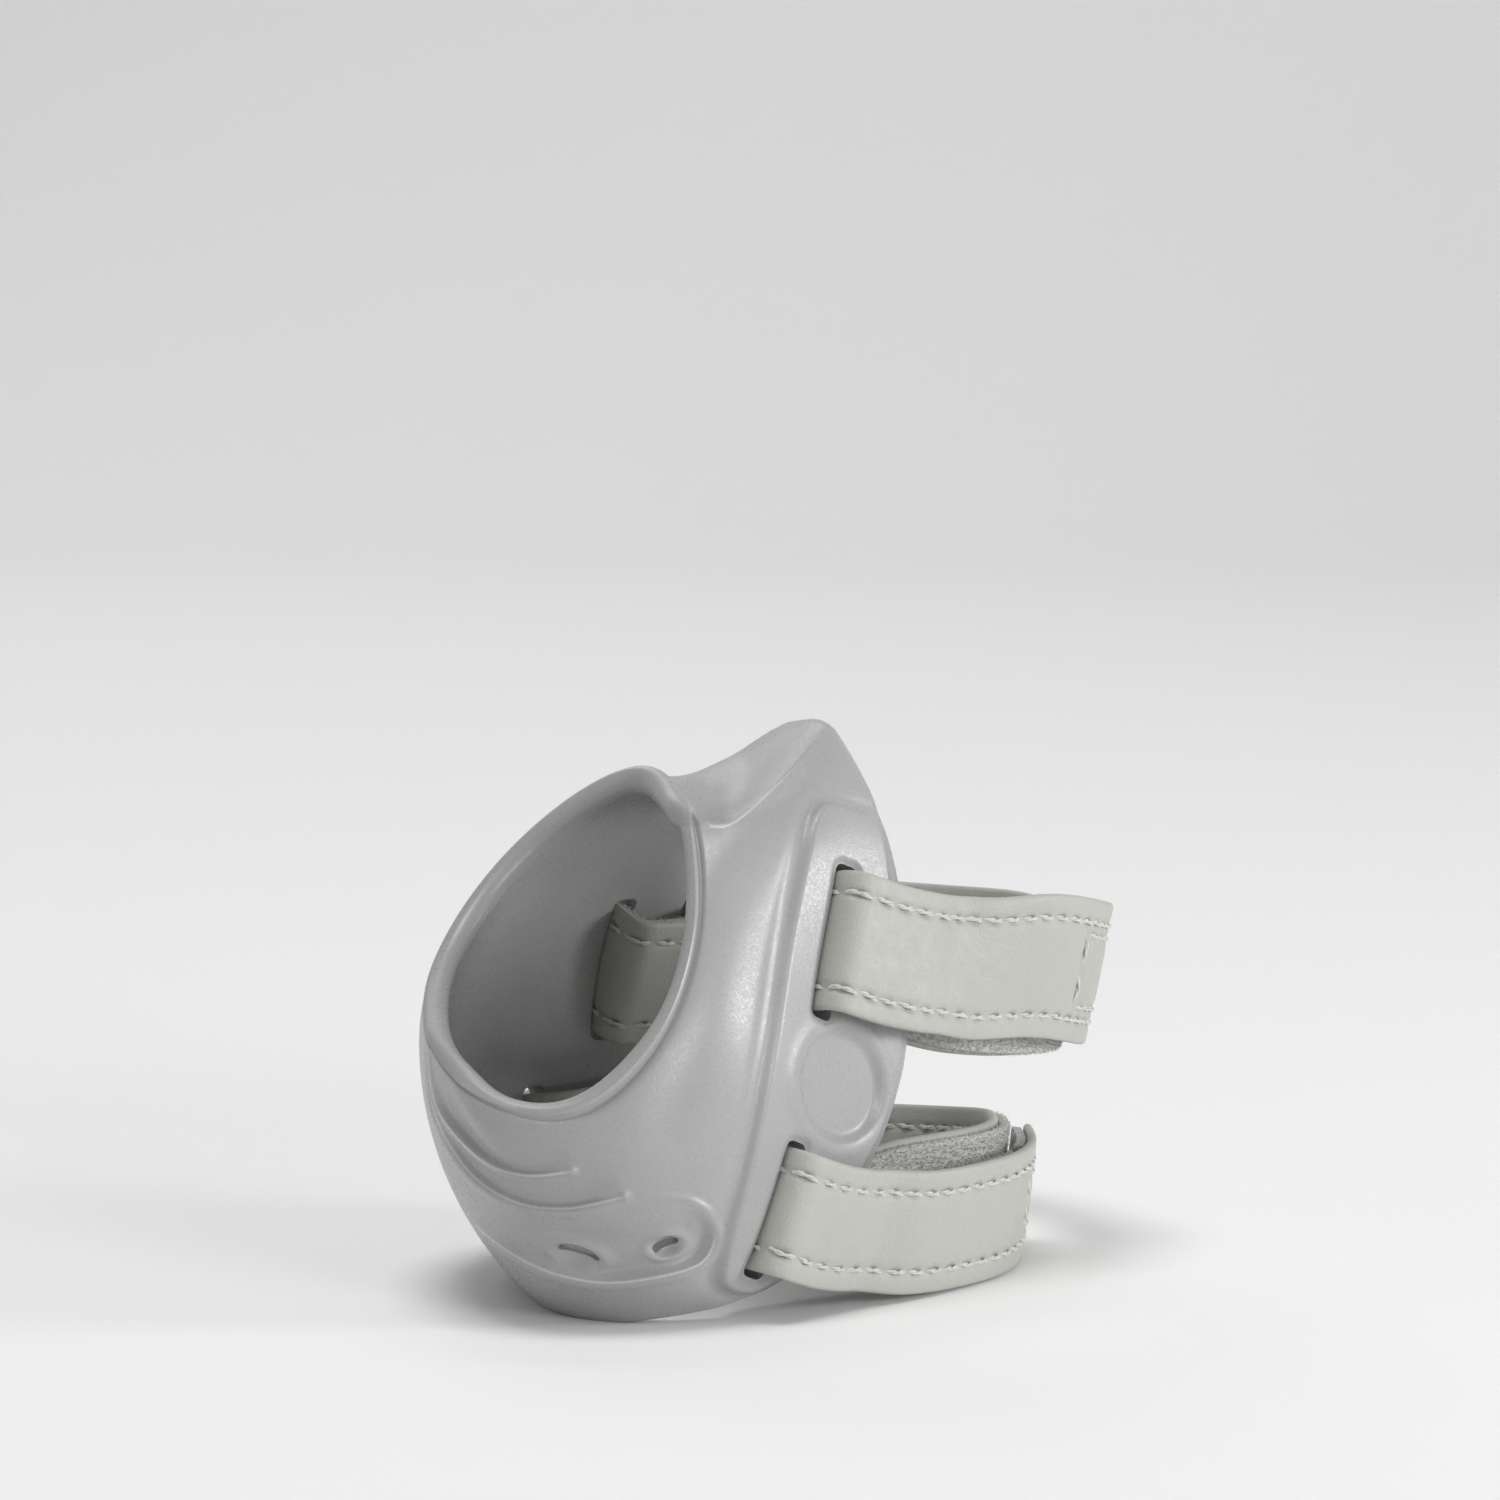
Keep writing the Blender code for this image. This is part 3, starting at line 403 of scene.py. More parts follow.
def shell_grid(bars):
    """The shell as one closed skin: each section runs out over the face and back inside."""
    turn = np.concatenate([
        np.linspace(PALM_STOP - len(SECTIONS), PALM_START, FRONT_TURNS, endpoint=False),
        np.linspace(PALM_START, PALM_STOP, PALM_TURNS, endpoint=False),
    ])[:, None]
    lengths = norm(np.diff(skin(turn, np.linspace(0, 1, 17)), axis=1), axis=2).sum(axis=1)
    start = SHELL_WALL / 2 / lengths[:, None]

    def rows(shares):
        """Places on the skin, where they are, and their normals and outward ways."""
        outs = start + (1 - start - start) * shares
        turns = np.broadcast_to(turn, outs.shape)
        return (skin(turns, outs), turns, outs, *skin_frame(turns, outs))

    base, turns, outs, normals, outwards = rows(np.linspace(0, 1, SHELL_ROWS) ** ROW_CROWD)
    from_rim = outs * lengths[:, None]
    height = mould_relief(base.reshape(-1, 3), normals.reshape(-1, 3), from_rim.ravel(), turns.ravel(), bars)
    face = base + normals * height.reshape(outs.shape)[..., None]
    inner, _, _, inner_normals, _ = rows(np.linspace(1, 0, INNER_ROWS))
    inside = inner - inner_normals * SHELL_WALL
    angles = np.pi * np.arange(1, CAP_STEPS + 1) / (CAP_STEPS + 1)

    def cap(top, bottom, bulge):
        middle, half = (top + bottom) / 2, (top - bottom) / 2
        reach = bulge * SHELL_WALL / 2
        return np.stack([middle + half * cos(a) + reach * sin(a) for a in angles], axis=1)

    edge_cap = cap(face[:, -1], inside[:, 0], outwards[:, -1])
    rim_cap = cap(inside[:, -1], face[:, 0], -outwards[:, 0])
    return np.concatenate([face, edge_cap, inside, rim_cap], axis=1)


def linked(name, data):
    """New object of the scene that shows the data."""
    obj = bpy.data.objects.new(name, data)
    bpy.context.scene.collection.objects.link(obj)
    return obj


def meshed(name, points, faces):
    """Closed mesh object, its faces turned outwards and shaded smooth."""
    mesh = bpy.data.meshes.new(name)
    mesh.from_pydata((np.asarray(points) + MOULD_ZERO).tolist(), [], faces)
    shape = bmesh.new()
    shape.from_mesh(mesh)
    bmesh.ops.recalc_face_normals(shape, faces=shape.faces)
    shape.to_mesh(mesh)
    shape.free()
    mesh.shade_smooth()
    return linked(name, mesh)


def ring_faces(around, across):
    """Faces of a grid that closes on itself both ways."""
    number = np.arange(around * across).reshape(around, across)
    right = np.roll(number, -1, axis=0)
    up = np.roll(number, -1, axis=1)
    both = np.roll(right, -1, axis=1)
    return np.stack([number, right, both, up], axis=-1).reshape(-1, 4).tolist()


def prism(name, outline, origin, first, second, up, reach=3 * SHELL_WALL):
    """Outline drawn on two directions and pushed through along the third."""
    points = [origin + first * a + second * b + up * height for height in (-reach, reach) for a, b in outline]
    count = len(outline)
    faces = [list(range(count)), [count + k for k in reversed(range(count))]]
    for k in range(count):
        after = (k + 1) % count
        faces.append([after, k, count + k, count + after])
    return meshed(name, points, faces)


def slot_outline(width):
    """Round-cornered outline of a strap slot beside its bar."""
    half = width / 2 + SLOT_CLEARANCE
    outline = []
    for quarter, (end, side) in enumerate(((1, 1), (-1, 1), (-1, -1), (1, -1))):
        middle = side * (SLOT_WIDTH / 2 - SLOT_CORNER)
        for k in range(SLOT_CORNER_STEPS):
            a = pi / 2 * (quarter + k / (SLOT_CORNER_STEPS - 1))
            place = end * (half - SLOT_CORNER) + SLOT_CORNER * cos(a)
            outline.append((place, middle + SLOT_CORNER * sin(a) - SLOT_WIDTH / 2))
    return outline


def vent_cutter(name, vent):
    """Round-ended slit, straight in through the wall."""
    place = locate(drawn([vent.across, vent.up]), seen, False)
    over, _ = skin_frame(*place)
    turn = radians(vent.turn)
    along = np.array([cos(turn), 0, sin(turn)])
    along = unit(along - over * (along @ over))
    straight = vent.half_long - VENT_WIDTH / 2
    outline = []
    for k in range(VENT_STEPS):
        a = 2 * pi * (k + 0.5) / VENT_STEPS
        shift = straight if cos(a) > 0 else -straight
        outline.append((shift + VENT_WIDTH / 2 * cos(a), VENT_WIDTH / 2 * sin(a)))
    return prism(name, outline, skin(*place), along, np.cross(over, along), over)


def foot_cutter():
    """Levels the wrist end of the shell, on which the splint stands."""
    far = 2 * max(SHELL_WIDTH, SHELL_DEPTH)
    outline = [(-far, -far), (far, -far), (far, 0), (-far, 0)]
    origin = np.array([SHELL_SIDE + SHELL_WIDTH / 2, SHELL_DEPTH / 2, FOOT_CUT])
    sideways, away, up = np.eye(3)
    return prism("foot_cutter", outline, origin, sideways, up, away, far)


def baked(obj, name):
    """Plain mesh object of what the modifiers make."""
    graph = bpy.context.evaluated_depsgraph_get()
    made = linked(name, bpy.data.meshes.new_from_object(obj.evaluated_get(graph)))
    bpy.data.objects.remove(obj, do_unlink=True)
    return made


def read_out(items, key):
    """Three numbers of each vertex or normal, as an array of rows."""
    values = np.empty(len(items) * 3, np.float32)
    items.foreach_get(key, values)
    return values.reshape(-1, 3)


def carried(mesh, label, values, domain="POINT"):
    """Numbers that a material or node tree reads from the mesh."""
    values = np.asarray(values, np.float32)
    kind, key = ("FLOAT_VECTOR", "vector") if values.ndim == 2 else ("FLOAT", "value")
    mesh.attributes.new(label, kind, domain).data.foreach_set(key, values.ravel())


BARS = {
    "upper_front": bar_at(UPPER_SLOT, *THUMB_SIDE),
    "lower_front": bar_at(LOWER_SLOT, *THUMB_SIDE),
    "upper_palm": bar_at(UPPER_PALM_SLOT, *PALM_SIDE),
    "lower_palm": bar_at(LOWER_PALM_SLOT, *PALM_SIDE),
}
STRAP_WIDTHS = {"upper": UPPER_STRAP_WIDTH, "lower": LOWER_STRAP_WIDTH}
wide_bars = [(bar, STRAP_WIDTHS[name.split("_")[0]]) for name, bar in BARS.items()]
grid = shell_grid(wide_bars)
uncut = meshed("uncut_shell", grid.reshape(-1, 3), ring_faces(*grid.shape[:2]))
cutters = [prism(f"slot_{number}", slot_outline(width), bar.corner, bar.along, bar.on, bar.over)
           for number, (bar, width) in enumerate(wide_bars)]
cutters += [vent_cutter(f"vent_{number}", vent) for number, vent in enumerate(VENTS)]
cutters.append(foot_cutter())
tools = bpy.data.collections.new("cutters")
for cutter in cutters:
    bpy.context.scene.collection.objects.unlink(cutter)
    tools.objects.link(cutter)
cutting = uncut.modifiers.new("openings", "BOOLEAN")
cutting.operation = "DIFFERENCE"
cutting.solver = "EXACT"
cutting.operand_type = "COLLECTION"
cutting.collection = tools
moulded_shell = baked(uncut, "moulded_shell")
for cutter in cutters:
    bpy.data.objects.remove(cutter, do_unlink=True)
bpy.data.collections.remove(tools)
moulded_shell.data.set_sharp_from_angle(angle=radians(SHARP_SHELL))
corners = read_out(moulded_shell.data.vertices, "co") - MOULD_ZERO
facings = read_out(moulded_shell.data.vertex_normals, "vector")
on_front = (1 - ramp(corners[:, 1], 0.022, 0.03)) * (1 - ramp(facings[:, 1], 0.15, 0.4))

# Painted highlights: bright lines that the material draws along the moulded edges, where the real edges catch
# the light; each fades in and out along its length.
HIGHLIGHT_LINES = {
    "upper_groove_highlight": (UPPER_GROOVE, 0.2, 0.92), "lower_groove_highlight": (LOWER_GROOVE, 0.2, 0.92),
    "channel_edge_highlight": (CHANNEL_EDGE, 0.04, 0.52), "parting_ridge_highlight": (PARTING_RIDGE, 0.04, 0.95),
}
for label, (line, fade_in, fade_out) in HIGHLIGHT_LINES.items():
    off, share, _ = off_line(seen(corners), line)
    fade = on_front * within(share, fade_in, fade_out, fade_out + 0.12)
    carried(moulded_shell.data, label, np.stack([off, fade, fade], -1))
# Painted shade: weight of the darker grey on the wing above the parting line, standing in for the shade
# there.
above = ramp(off, 0, 0.0008) * on_front * ramp(corners[:, 0], NOTCH - 0.006, NOTCH + 0.002)
carried(moulded_shell.data, "painted_shade_above_parting", above)


def wired(tree, kind, inputs=(), **settings):
    """New node. An input takes a plain value, an output, or a node's first output."""
    node = tree.nodes.new(kind)
    for name, value in settings.items():
        setattr(node, name, value)
    for name, value in dict(inputs).items():
        if isinstance(value, bpy.types.Node):
            value = value.outputs[0]
        if isinstance(value, bpy.types.NodeSocket):
            tree.links.new(value, node.inputs[name])
        else:
            node.inputs[name].default_value = value
    return node


Paint = namedtuple("Paint", "material tree surface place")


def painted(name, colour, roughness):
    """A new material, its node tree, its shader and its object coordinates."""
    material = bpy.data.materials.new(name)
    material.use_nodes = True
    tree = material.node_tree
    surface = tree.nodes["Principled BSDF"]
    surface.inputs["Base Color"].default_value = (*colour, 1)
    surface.inputs["Roughness"].default_value = roughness
    return Paint(material, tree, surface, tree.nodes.new("ShaderNodeTexCoord").outputs["Object"])


def feed(paint, name, node):
    """Lets a node's first output set one of the shader's inputs."""
    paint.tree.links.new(node.outputs[0], paint.surface.inputs[name])


def noise(paint, scale, detail, roughness=0.5):
    """Cloudy noise over the object."""
    inputs = {"Scale": scale, "Detail": detail, "Roughness": roughness, "Vector": paint.place}
    return wired(paint.tree, "ShaderNodeTexNoise", inputs)


def cells(paint, scale, feature):
    """Distances in a field of random cells."""
    inputs = {"Scale": scale, "Vector": paint.place}
    return wired(paint.tree, "ShaderNodeTexVoronoi", inputs, feature=feature)


def stepped(tree, value, *stops):
    """Colour ramp between two stops, each a position and a colour or grey."""
    band = wired(tree, "ShaderNodeValToRGB", {"Fac": value})
    for element, (position, colour) in zip(band.color_ramp.elements, stops):
        element.position = position
        element.color = (*colour, 1) if isinstance(colour, tuple) else (colour, colour, colour, 1)
    return band


def clouds(paint, low, high, scale, detail, roughness=0.5):
    """Colour or grey that wanders between two values with a cloudy noise."""
    return stepped(paint.tree, noise(paint, scale, detail, roughness), (0.3, low), (0.7, high))


def bumped(paint, height, distance, strength, below=None):
    """Bump over the shader's normal, or over the bump below it."""
    inputs = {"Distance": distance, "Strength": strength, "Height": height}
    if below:
        inputs["Normal"] = below
    bump = wired(paint.tree, "ShaderNodeBump", inputs)
    feed(paint, "Normal", bump)
    return bump


def maths(tree, operation, *values):
    """Math node over links and plain numbers."""
    return wired(tree, "ShaderNodeMath", enumerate(values), operation=operation)


def blended(tree, mode, weight, below, above):
    """Mix of a colour output with another output or a plain colour."""
    above = (*above, 1) if isinstance(above, tuple) else above
    inputs = {"Factor": weight, "A": below, "B": above}
    return wired(tree, "ShaderNodeMix", inputs, data_type="RGBA", blend_type=mode).outputs["Result"]


def painted_highlight_lines(tree):
    """Weight of the painted highlight lines along the moulded edges, from the distances that the vertices
    carry.
    """
    total = 0.0
    for label in HIGHLIGHT_LINES:
        field = wired(tree, "ShaderNodeAttribute", attribute_name=label)
        parts = wired(tree, "ShaderNodeSeparateXYZ", {"Vector": field.outputs["Vector"]}).outputs
        off = maths(tree, "DIVIDE", maths(tree, "ABSOLUTE", parts["X"]), LINE_HALF_WIDTH)
        near = maths(tree, "MAXIMUM", maths(tree, "SUBTRACT", 1.0, off), 0.0)
        total = maths(tree, "MAXIMUM", maths(tree, "MULTIPLY", near, parts["Y"]), total)
    return total


def satin_plastic():
    """Soft moulded plastic: spark-eroded speckle, faint cloudiness, a slightly uneven gloss, painted shade
    over the wing above the parting line and painted highlight lines along the moulded edges.
    """
    paint = painted("satin_plastic", (0.37, 0.37, 0.37), 0.36)
    tree = paint.tree
    speckle = noise(paint, 6500, 2, 0.6)
    tone = clouds(paint, (0.35, 0.35, 0.352), (0.38, 0.38, 0.38), 90, 3)
    tone = blended(tree, "MULTIPLY", 1.0, tone, stepped(tree, speckle, (0.40, 0.985), (0.66, 1.015)))
    # Painted shade: the wing above the parting line is mixed towards a darker grey.
    above = wired(tree, "ShaderNodeAttribute", attribute_name="painted_shade_above_parting").outputs["Fac"]
    tone = blended(tree, "MIX", maths(tree, "MULTIPLY", above, WING_SHADE), tone, WING_SHADE_GREY)
    lines = painted_highlight_lines(tree)
    # Painted highlight: the edge lines are mixed towards a light grey.
    tone = blended(tree, "MIX", maths(tree, "MULTIPLY", lines, HIGHLIGHT_LINE_WEIGHT), tone, HIGHLIGHT_LINE_GREY)
    tree.links.new(tone, paint.surface.inputs["Base Color"])
    feed(paint, "Roughness", clouds(paint, 0.24, 0.38, 2400, 2))
    low = bumped(paint, noise(paint, 260, 2), 0.0004, 0.04)
    fine = bumped(paint, speckle, 0.00005, 0.42, low)
    bumped(paint, lines, 0.00012, 0.5, fine)
    paint.surface.inputs["IOR"].default_value = 1.48
    return paint.material


moulded_shell.data.materials.clear()
moulded_shell.data.materials.append(satin_plastic())
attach(moulded_shell, "root")
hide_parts("shell")

# Straps: two bands of coated cloth with a grain, cut with a turned edge and sewn to a plush lining.
# Each one goes out through a slot of the panel, folds back over the bar beside it, runs round the
# hand with its plush side out, goes through the palm slot and is sewn to itself.
SEAM_INSET = 0.0025
EDGE_SEAM_START = 0.0004
BOX_START = 0.0022
BOX_INSET = 0.0014
TAIL_SEAMS = (0.0022, 0.0088)
UPPER_BOX_END = 0.0190
LOWER_BOX_END = 0.0130
STITCH_PITCH = 0.0028
HOOK_PATCH_LENGTH = 0.016
LOOP_WIDTH = 0.073
LOOP_DEPTH = 0.088
TAIL_LENGTH = 0.011
FOLD_SWEEP = 0.15
UPPER_END_FLARE = 0.05
FLARE_RUN = (0.010, 0.050)
EVENING = 0.0032
STRAP_STEP = 0.00036
BEND_STEPS = 12
BAR_BAND = 0.0015
BAR_TURNS = np.linspace(-2, 2, 161)
LINING_INSET = 0.0005
EDGE_ROUND = 0.00045
STITCH_DIP = 0.00022
DIP_WIDTH = 0.0006
HOLE_DIP = 0.00034
HOLE_WIDTH = 0.00042
HOLE_LENGTH = 0.00036
HOLE_PAST = 0.0003
SEAM_COLUMNS = 12
SEAM_REACH = 0.0011
SEAM_CLEAR = 0.0018
LINING_COLUMNS = 7
SHARP_BAND = 60
FACE_CROWN = 0.00012
FACE_WAVE = 0.00004
WAVE_LENGTHS = (0.031, 0.017, 0.0093, 0.0051)
LINING_CORE = 0.0009

# Rows of each run of a strap: across, away and up as shares, then how its width leans to +X and +Y.
UPPER_OUTER = (
    (1, 0.716, 0.49, 0.2, 0.02),
    (1.006, 0.636, 0.502, 0.2, 0),
    (0.992, 0.556, 0.52, 0.2, 0),
    (0.958, 0.48, 0.544, 0.2, 0.02),
    (0.905, 0.425, 0.562, 0.2, 0.08),
    (0.835, 0.362, 0.564, 0.2, 0.18),
)
UPPER_INNER = (
    (0.79, 0.418, 0.528, 0.2, 0.18),
    (0.862, 0.47, 0.508, 0.2, 0.08),
    (0.914, 0.52, 0.497, 0.2, 0),
    (0.951, 0.575, 0.49, 0.2, 0),
    (0.964, 0.64, 0.484, 0.2, 0.02),
    (0.957, 0.722, 0.48, 0.18, 0.04),
    (0.905, 0.84, 0.485, 0.12, 0.12),
    (0.79, 0.94, 0.48, 0.04, 0.2),
    (0.64, 0.98, 0.485, 0.02, 0.14),
    (0.5, 0.93, 0.5, 0.06, 0.02),
    (0.42, 0.83, 0.52, 0.14, -0.12),
)
LOWER_OUTER = (
    (0.892, 0.64, 0.105, 0.12, 0),
    (0.896, 0.56, 0.105, 0.12, 0),
    (0.888, 0.49, 0.105, 0.12, 0),
    (0.86, 0.41, 0.105, 0.12, 0),
    (0.8, 0.335, 0.106, 0.15, 0.04),
    (0.73, 0.262, 0.11, 0.2, 0.1),
)
LOWER_INNER = (
    (0.69, 0.335, 0.145, 0.2, 0.1),
    (0.762, 0.387, 0.146, 0.15, 0.04),
    (0.822, 0.447, 0.145, 0.12, 0),
    (0.848, 0.505, 0.143, 0.12, 0),
    (0.853, 0.57, 0.138, 0.12, 0),
    (0.845, 0.645, 0.13, 0.1, 0.02),
    (0.78, 0.745, 0.112, 0.06, 0.06),
    (0.65, 0.805, 0.105, 0, 0.08),
    (0.51, 0.81, 0.112, 0, 0.08),
    (0.4, 0.765, 0.135, -0.02, 0.06),
)
LAYER_RISE = STRAP_LINING + STRAP_GAP


def bar_levels(bar, width, rise, steps, pick):
    """Level of the shell's face under the strap at each step across the bar."""
    turns = bar.turn + BAR_TURNS[:, None]
    outs = np.linspace(0.3, 1, 71)[None, :]
    normals, _ = skin_frame(*np.broadcast_arrays(turns, outs))
    places = skin(turns, outs) + normals * rise - bar.corner
    covered = np.abs(places @ bar.along) < width / 2 + STRAP_GAP
    across = places @ bar.on
    levels = places @ bar.over
    return [pick(levels[covered & (np.abs(across - step) < BAR_BAND)]) for step in steps]


def bar_width(bar, width):
    """From the slot to the farthest place of the shell's edge under the strap."""
    edge = skin(bar.turn + BAR_TURNS, 1) - bar.corner
    return max((edge @ bar.on)[np.abs(edge @ bar.along) < width / 2])


def fold(bar, width, front_rise, sweep):
    """Edge lines of a strap folded through the slot: in over the bar, out under it."""
    clear = LAYER_RISE + STRAP_GAP / 2
    reach = bar_width(bar, width)
    steps = [reach, reach * 2 / 3, reach / 3, 0]
    over = [level + clear for level in bar_levels(bar, width, front_rise, steps, np.max)]
    under = [level - clear for level in bar_levels(bar, width, -SHELL_WALL, steps, np.min)]
    quarter = [pi / 2 * k / BEND_STEPS for k in range(BEND_STEPS + 1)]
    line = list(zip(steps[:-1], over[:-1]))
    line += [(-clear * sin(a), over[-1] - clear + clear * cos(a)) for a in quarter]
    line += [(-clear * cos(a), under[-1] + clear - clear * sin(a)) for a in quarter]
    line += list(zip(steps[-2::-1], under[-2::-1]))
    middle = np.array([bar.corner + bar.on * step + bar.over * level for step, level in line])
    middle += [bar.along * bar.along[2] * sweep * max(step, 0) ** 2 / reach for step, level in line]
    half = bar.along * width / 2
    return np.stack([middle - half, middle + half], axis=1)


def stops_line(stops, width):
    """Edge lines of a strap along its stops."""
    rows = []
    for *place, lean_x, lean_y in stops:
        middle = spread(place, (LOOP_WIDTH, LOOP_DEPTH, SHELL_HEIGHT)) + (SHELL_SIDE, 0, 0)
        lean = unit(np.array([lean_x, lean_y, 1.0]))
        rows.append((middle - lean * width / 2, middle + lean * width / 2))
    return np.array(rows)


def between(near, knots, shares):
    """Smooth run from the second to the third of four places."""
    p0, p1, p2, p3 = near
    before, here, after = knots
    leave = (p2 - p1) / here
    arrive = leave
    if before > 0:
        leave = (p1 - p0) / before - (p2 - p0) / (before + here) + (p2 - p1) / here
    if after > 0:
        arrive = (p2 - p1) / here - (p3 - p1) / (here + after) + (p3 - p2) / after
    t = shares[:, None, None]
    ease = (2 * t**3 - 3 * t**2 + 1, t**3 - 2 * t**2 + t, -2 * t**3 + 3 * t**2, t**3 - t**2)
    return ease[0] * p1 + ease[1] * leave * here + ease[2] * p2 + ease[3] * arrive * here


def evened(route, outer_rows):
    """The route with its outer run smoothed up to the fold."""
    reach = round(3 * EVENING / STRAP_STEP)
    weights = np.exp(-0.5 * (np.arange(-reach, reach + 1) * STRAP_STEP / EVENING) ** 2)
    weights /= weights.sum()
    padded = np.concatenate([2 * route[:1] - route[reach:0:-1], route])
    smooth = [np.tensordot(weights, padded[k:k + 2 * reach + 1], axes=1) for k in range(outer_rows)]
    share = (1 - ramp(np.arange(outer_rows), outer_rows - reach, outer_rows - 1))[:, None, None]
    outer = share * smooth + (1 - share) * route[:outer_rows]
    return np.concatenate([outer, route[outer_rows:]])


def strap_route(outer, inner, front_bar, palm_bar, width, flare):
    """The strap's middle layer from free end to sewn tail: middles, cross and outward ways, run."""
    front = fold(front_bar, width, PANEL_RISE, FOLD_SWEEP)
    palm = fold(palm_bar, width, 0, 0)[::-1]
    round_hand = stops_line(inner, width)
    before, last = round_hand[-2:]
    heading = unit((last - before).mean(axis=0))
    doubled = unit(np.cross(heading, last[1] - last[0])) * 2 * LAYER_RISE
    back = unit(before - last) * TAIL_LENGTH
    tail = np.array([last + doubled + back * share for share in (0, 0.5, 1)])
    rough = np.concatenate([stops_line(outer, width), front, round_hand, palm, tail])
    fine = [rough[:1]]
    for run in range(len(rough) - 1):
        near = rough[[max(run - 1, 0), run, run + 1, min(run + 2, len(rough) - 1)]]
        gaps = norm(np.diff(near.mean(axis=1), axis=0), axis=1)
        pieces = max(1, round(gaps[1] / STRAP_STEP))
        fine.append(between(near, gaps**0.5, np.arange(1, pieces + 1) / pieces))
    route = evened(np.concatenate(fine), len(np.concatenate(fine[: len(outer) + 1])))
    middle = route.mean(axis=1)
    across = unit(route[:, 1] - route[:, 0])
    steps = unit(np.diff(middle, axis=0))
    both = np.vstack([steps[:1], steps]) + np.vstack([steps, steps[-1:]])
    outwards = unit(np.cross(across, both)) * 2 / norm(both, axis=1, keepdims=True)
    run = np.concatenate([[0], np.cumsum(norm(np.diff(middle, axis=0), axis=1))])
    wider = 1 + flare * (1 - ramp(run, *FLARE_RUN))
    return middle, across * wider[:, None], outwards, run


def band_profile(width, low, high, inner):
    """Closed outline of a flat band with rounded edges."""
    middle, thick = (low + high) / 2, (high - low) / 2
    flat = width / 2 - EDGE_ROUND
    angles = np.linspace(0, pi, 7)[1:-1]
    inner = np.sort(np.concatenate([inner, [-flat, EDGE_ROUND - flat, flat - EDGE_ROUND, flat]]))
    places = np.concatenate([
        inner, flat + EDGE_ROUND * np.sin(angles), inner[::-1], -flat - EDGE_ROUND * np.sin(angles),
    ])
    rim = thick * np.cos(angles)
    levels = np.concatenate([np.full(len(inner), high), middle + rim, np.full(len(inner), low), middle - rim])
    return np.stack([places, levels], axis=1)


def band_object(name, route, profile, heights):
    """Closed band that carries the profile along the route."""
    middle, across, outwards, _ = route
    points = middle[:, None] + across[:, None] * profile[None, :, :1] + outwards[:, None] * heights[..., None]
    rows, ring = heights.shape
    number = np.arange(rows * ring).reshape(rows, ring)
    after = np.roll(number, -1, axis=1)
    sides = np.stack([number[:-1], after[:-1], after[1:], number[1:]], axis=-1).reshape(-1, 4)
    k = np.arange(ring // 2 - 1)
    cap = np.stack([k, k + 1, ring - 2 - k, ring - 1 - k], axis=-1)
    faces = np.concatenate([sides, cap, number[-1][cap[:, ::-1]]])
    obj = meshed(name, points.reshape(-1, 3), faces.tolist())
    obj.data.set_sharp_from_angle(angle=radians(SHARP_BAND))
    return obj


def waves(run, seed):
    """Slow unevenness along a strap, a few hundredths of a millimetre."""
    turns = np.random.default_rng(seed)
    total = np.zeros(len(run))
    for length in WAVE_LENGTHS:
        total += length * np.sin(2 * pi * (run / length + turns.random()))
    return total / WAVE_LENGTHS[0]


def strap_seams(length, width, box_end):
    """Seams of a strap: start and end along it, then across it. Edges, box and tail."""
    edge = width / 2 - SEAM_INSET
    inset = edge - BOX_INSET
    first, last = (length - seam for seam in TAIL_SEAMS)
    near = BOX_START
    return (
        (EDGE_SEAM_START, last, edge, edge), (EDGE_SEAM_START, last, -edge, -edge),
        (near, near, -inset, inset), (box_end, box_end, -inset, inset),
        (near, box_end, inset, inset), (near, box_end, -inset, -inset),
        (first, first, -inset, inset), (last, last, -inset, inset),
    )


def seam_dip(run, u, seams):
    """How far the cloth is drawn in along the seams, and most at the stitch holes."""
    dip = np.zeros(np.broadcast(run, u).shape)
    for start, end, u_start, u_end in seams:
        if u_start == u_end:
            off, past = np.abs(u - u_start), np.maximum(np.maximum(start - run, run - end), 0)
            hole = np.abs((run / STITCH_PITCH) % 1 - 0.5)
        else:
            off, past = np.abs(run - start), np.maximum(np.abs(u) - u_end, 0)
            hole = np.abs(((u - u_start) / cross_pitch(u_start, u_end)) % 1 - 0.5)
        from_hole = STITCH_PITCH * (0.5 - hole)
        line = STITCH_DIP * np.exp(-((off / DIP_WIDTH) ** 2) - (past / DIP_WIDTH) ** 2)
        beside_hole = (off / HOLE_WIDTH) ** 2 + (from_hole / HOLE_LENGTH) ** 2 + (past / HOLE_PAST) ** 2
        dip = np.maximum(dip, line + HOLE_DIP * np.exp(-beside_hole))
    return dip


def cross_pitch(u_start, u_end):
    """Stitch pitch of a seam across the strap."""
    return (u_end - u_start) / max(1, int((u_end - u_start) / STITCH_PITCH))


def face_heights(route, profile, width, low, high, seams, seed):
    """Height of the face: crowned, uneven by a hair, and drawn in along the seams."""
    run = route[3][:, None]
    u = profile[None, :, 0]
    level = np.broadcast_to(profile[None, :, 1], (len(run), len(profile))).copy()
    top = np.clip((level - low) / (high - low), 0, 1) ** 3
    crown = FACE_CROWN * (1 - (2 * u / width) ** 2)
    uneven = FACE_WAVE * waves(route[3], seed)[:, None] * np.cos(2.2 * u / width)
    return level + top * (crown - seam_dip(run, u, seams) + uneven)


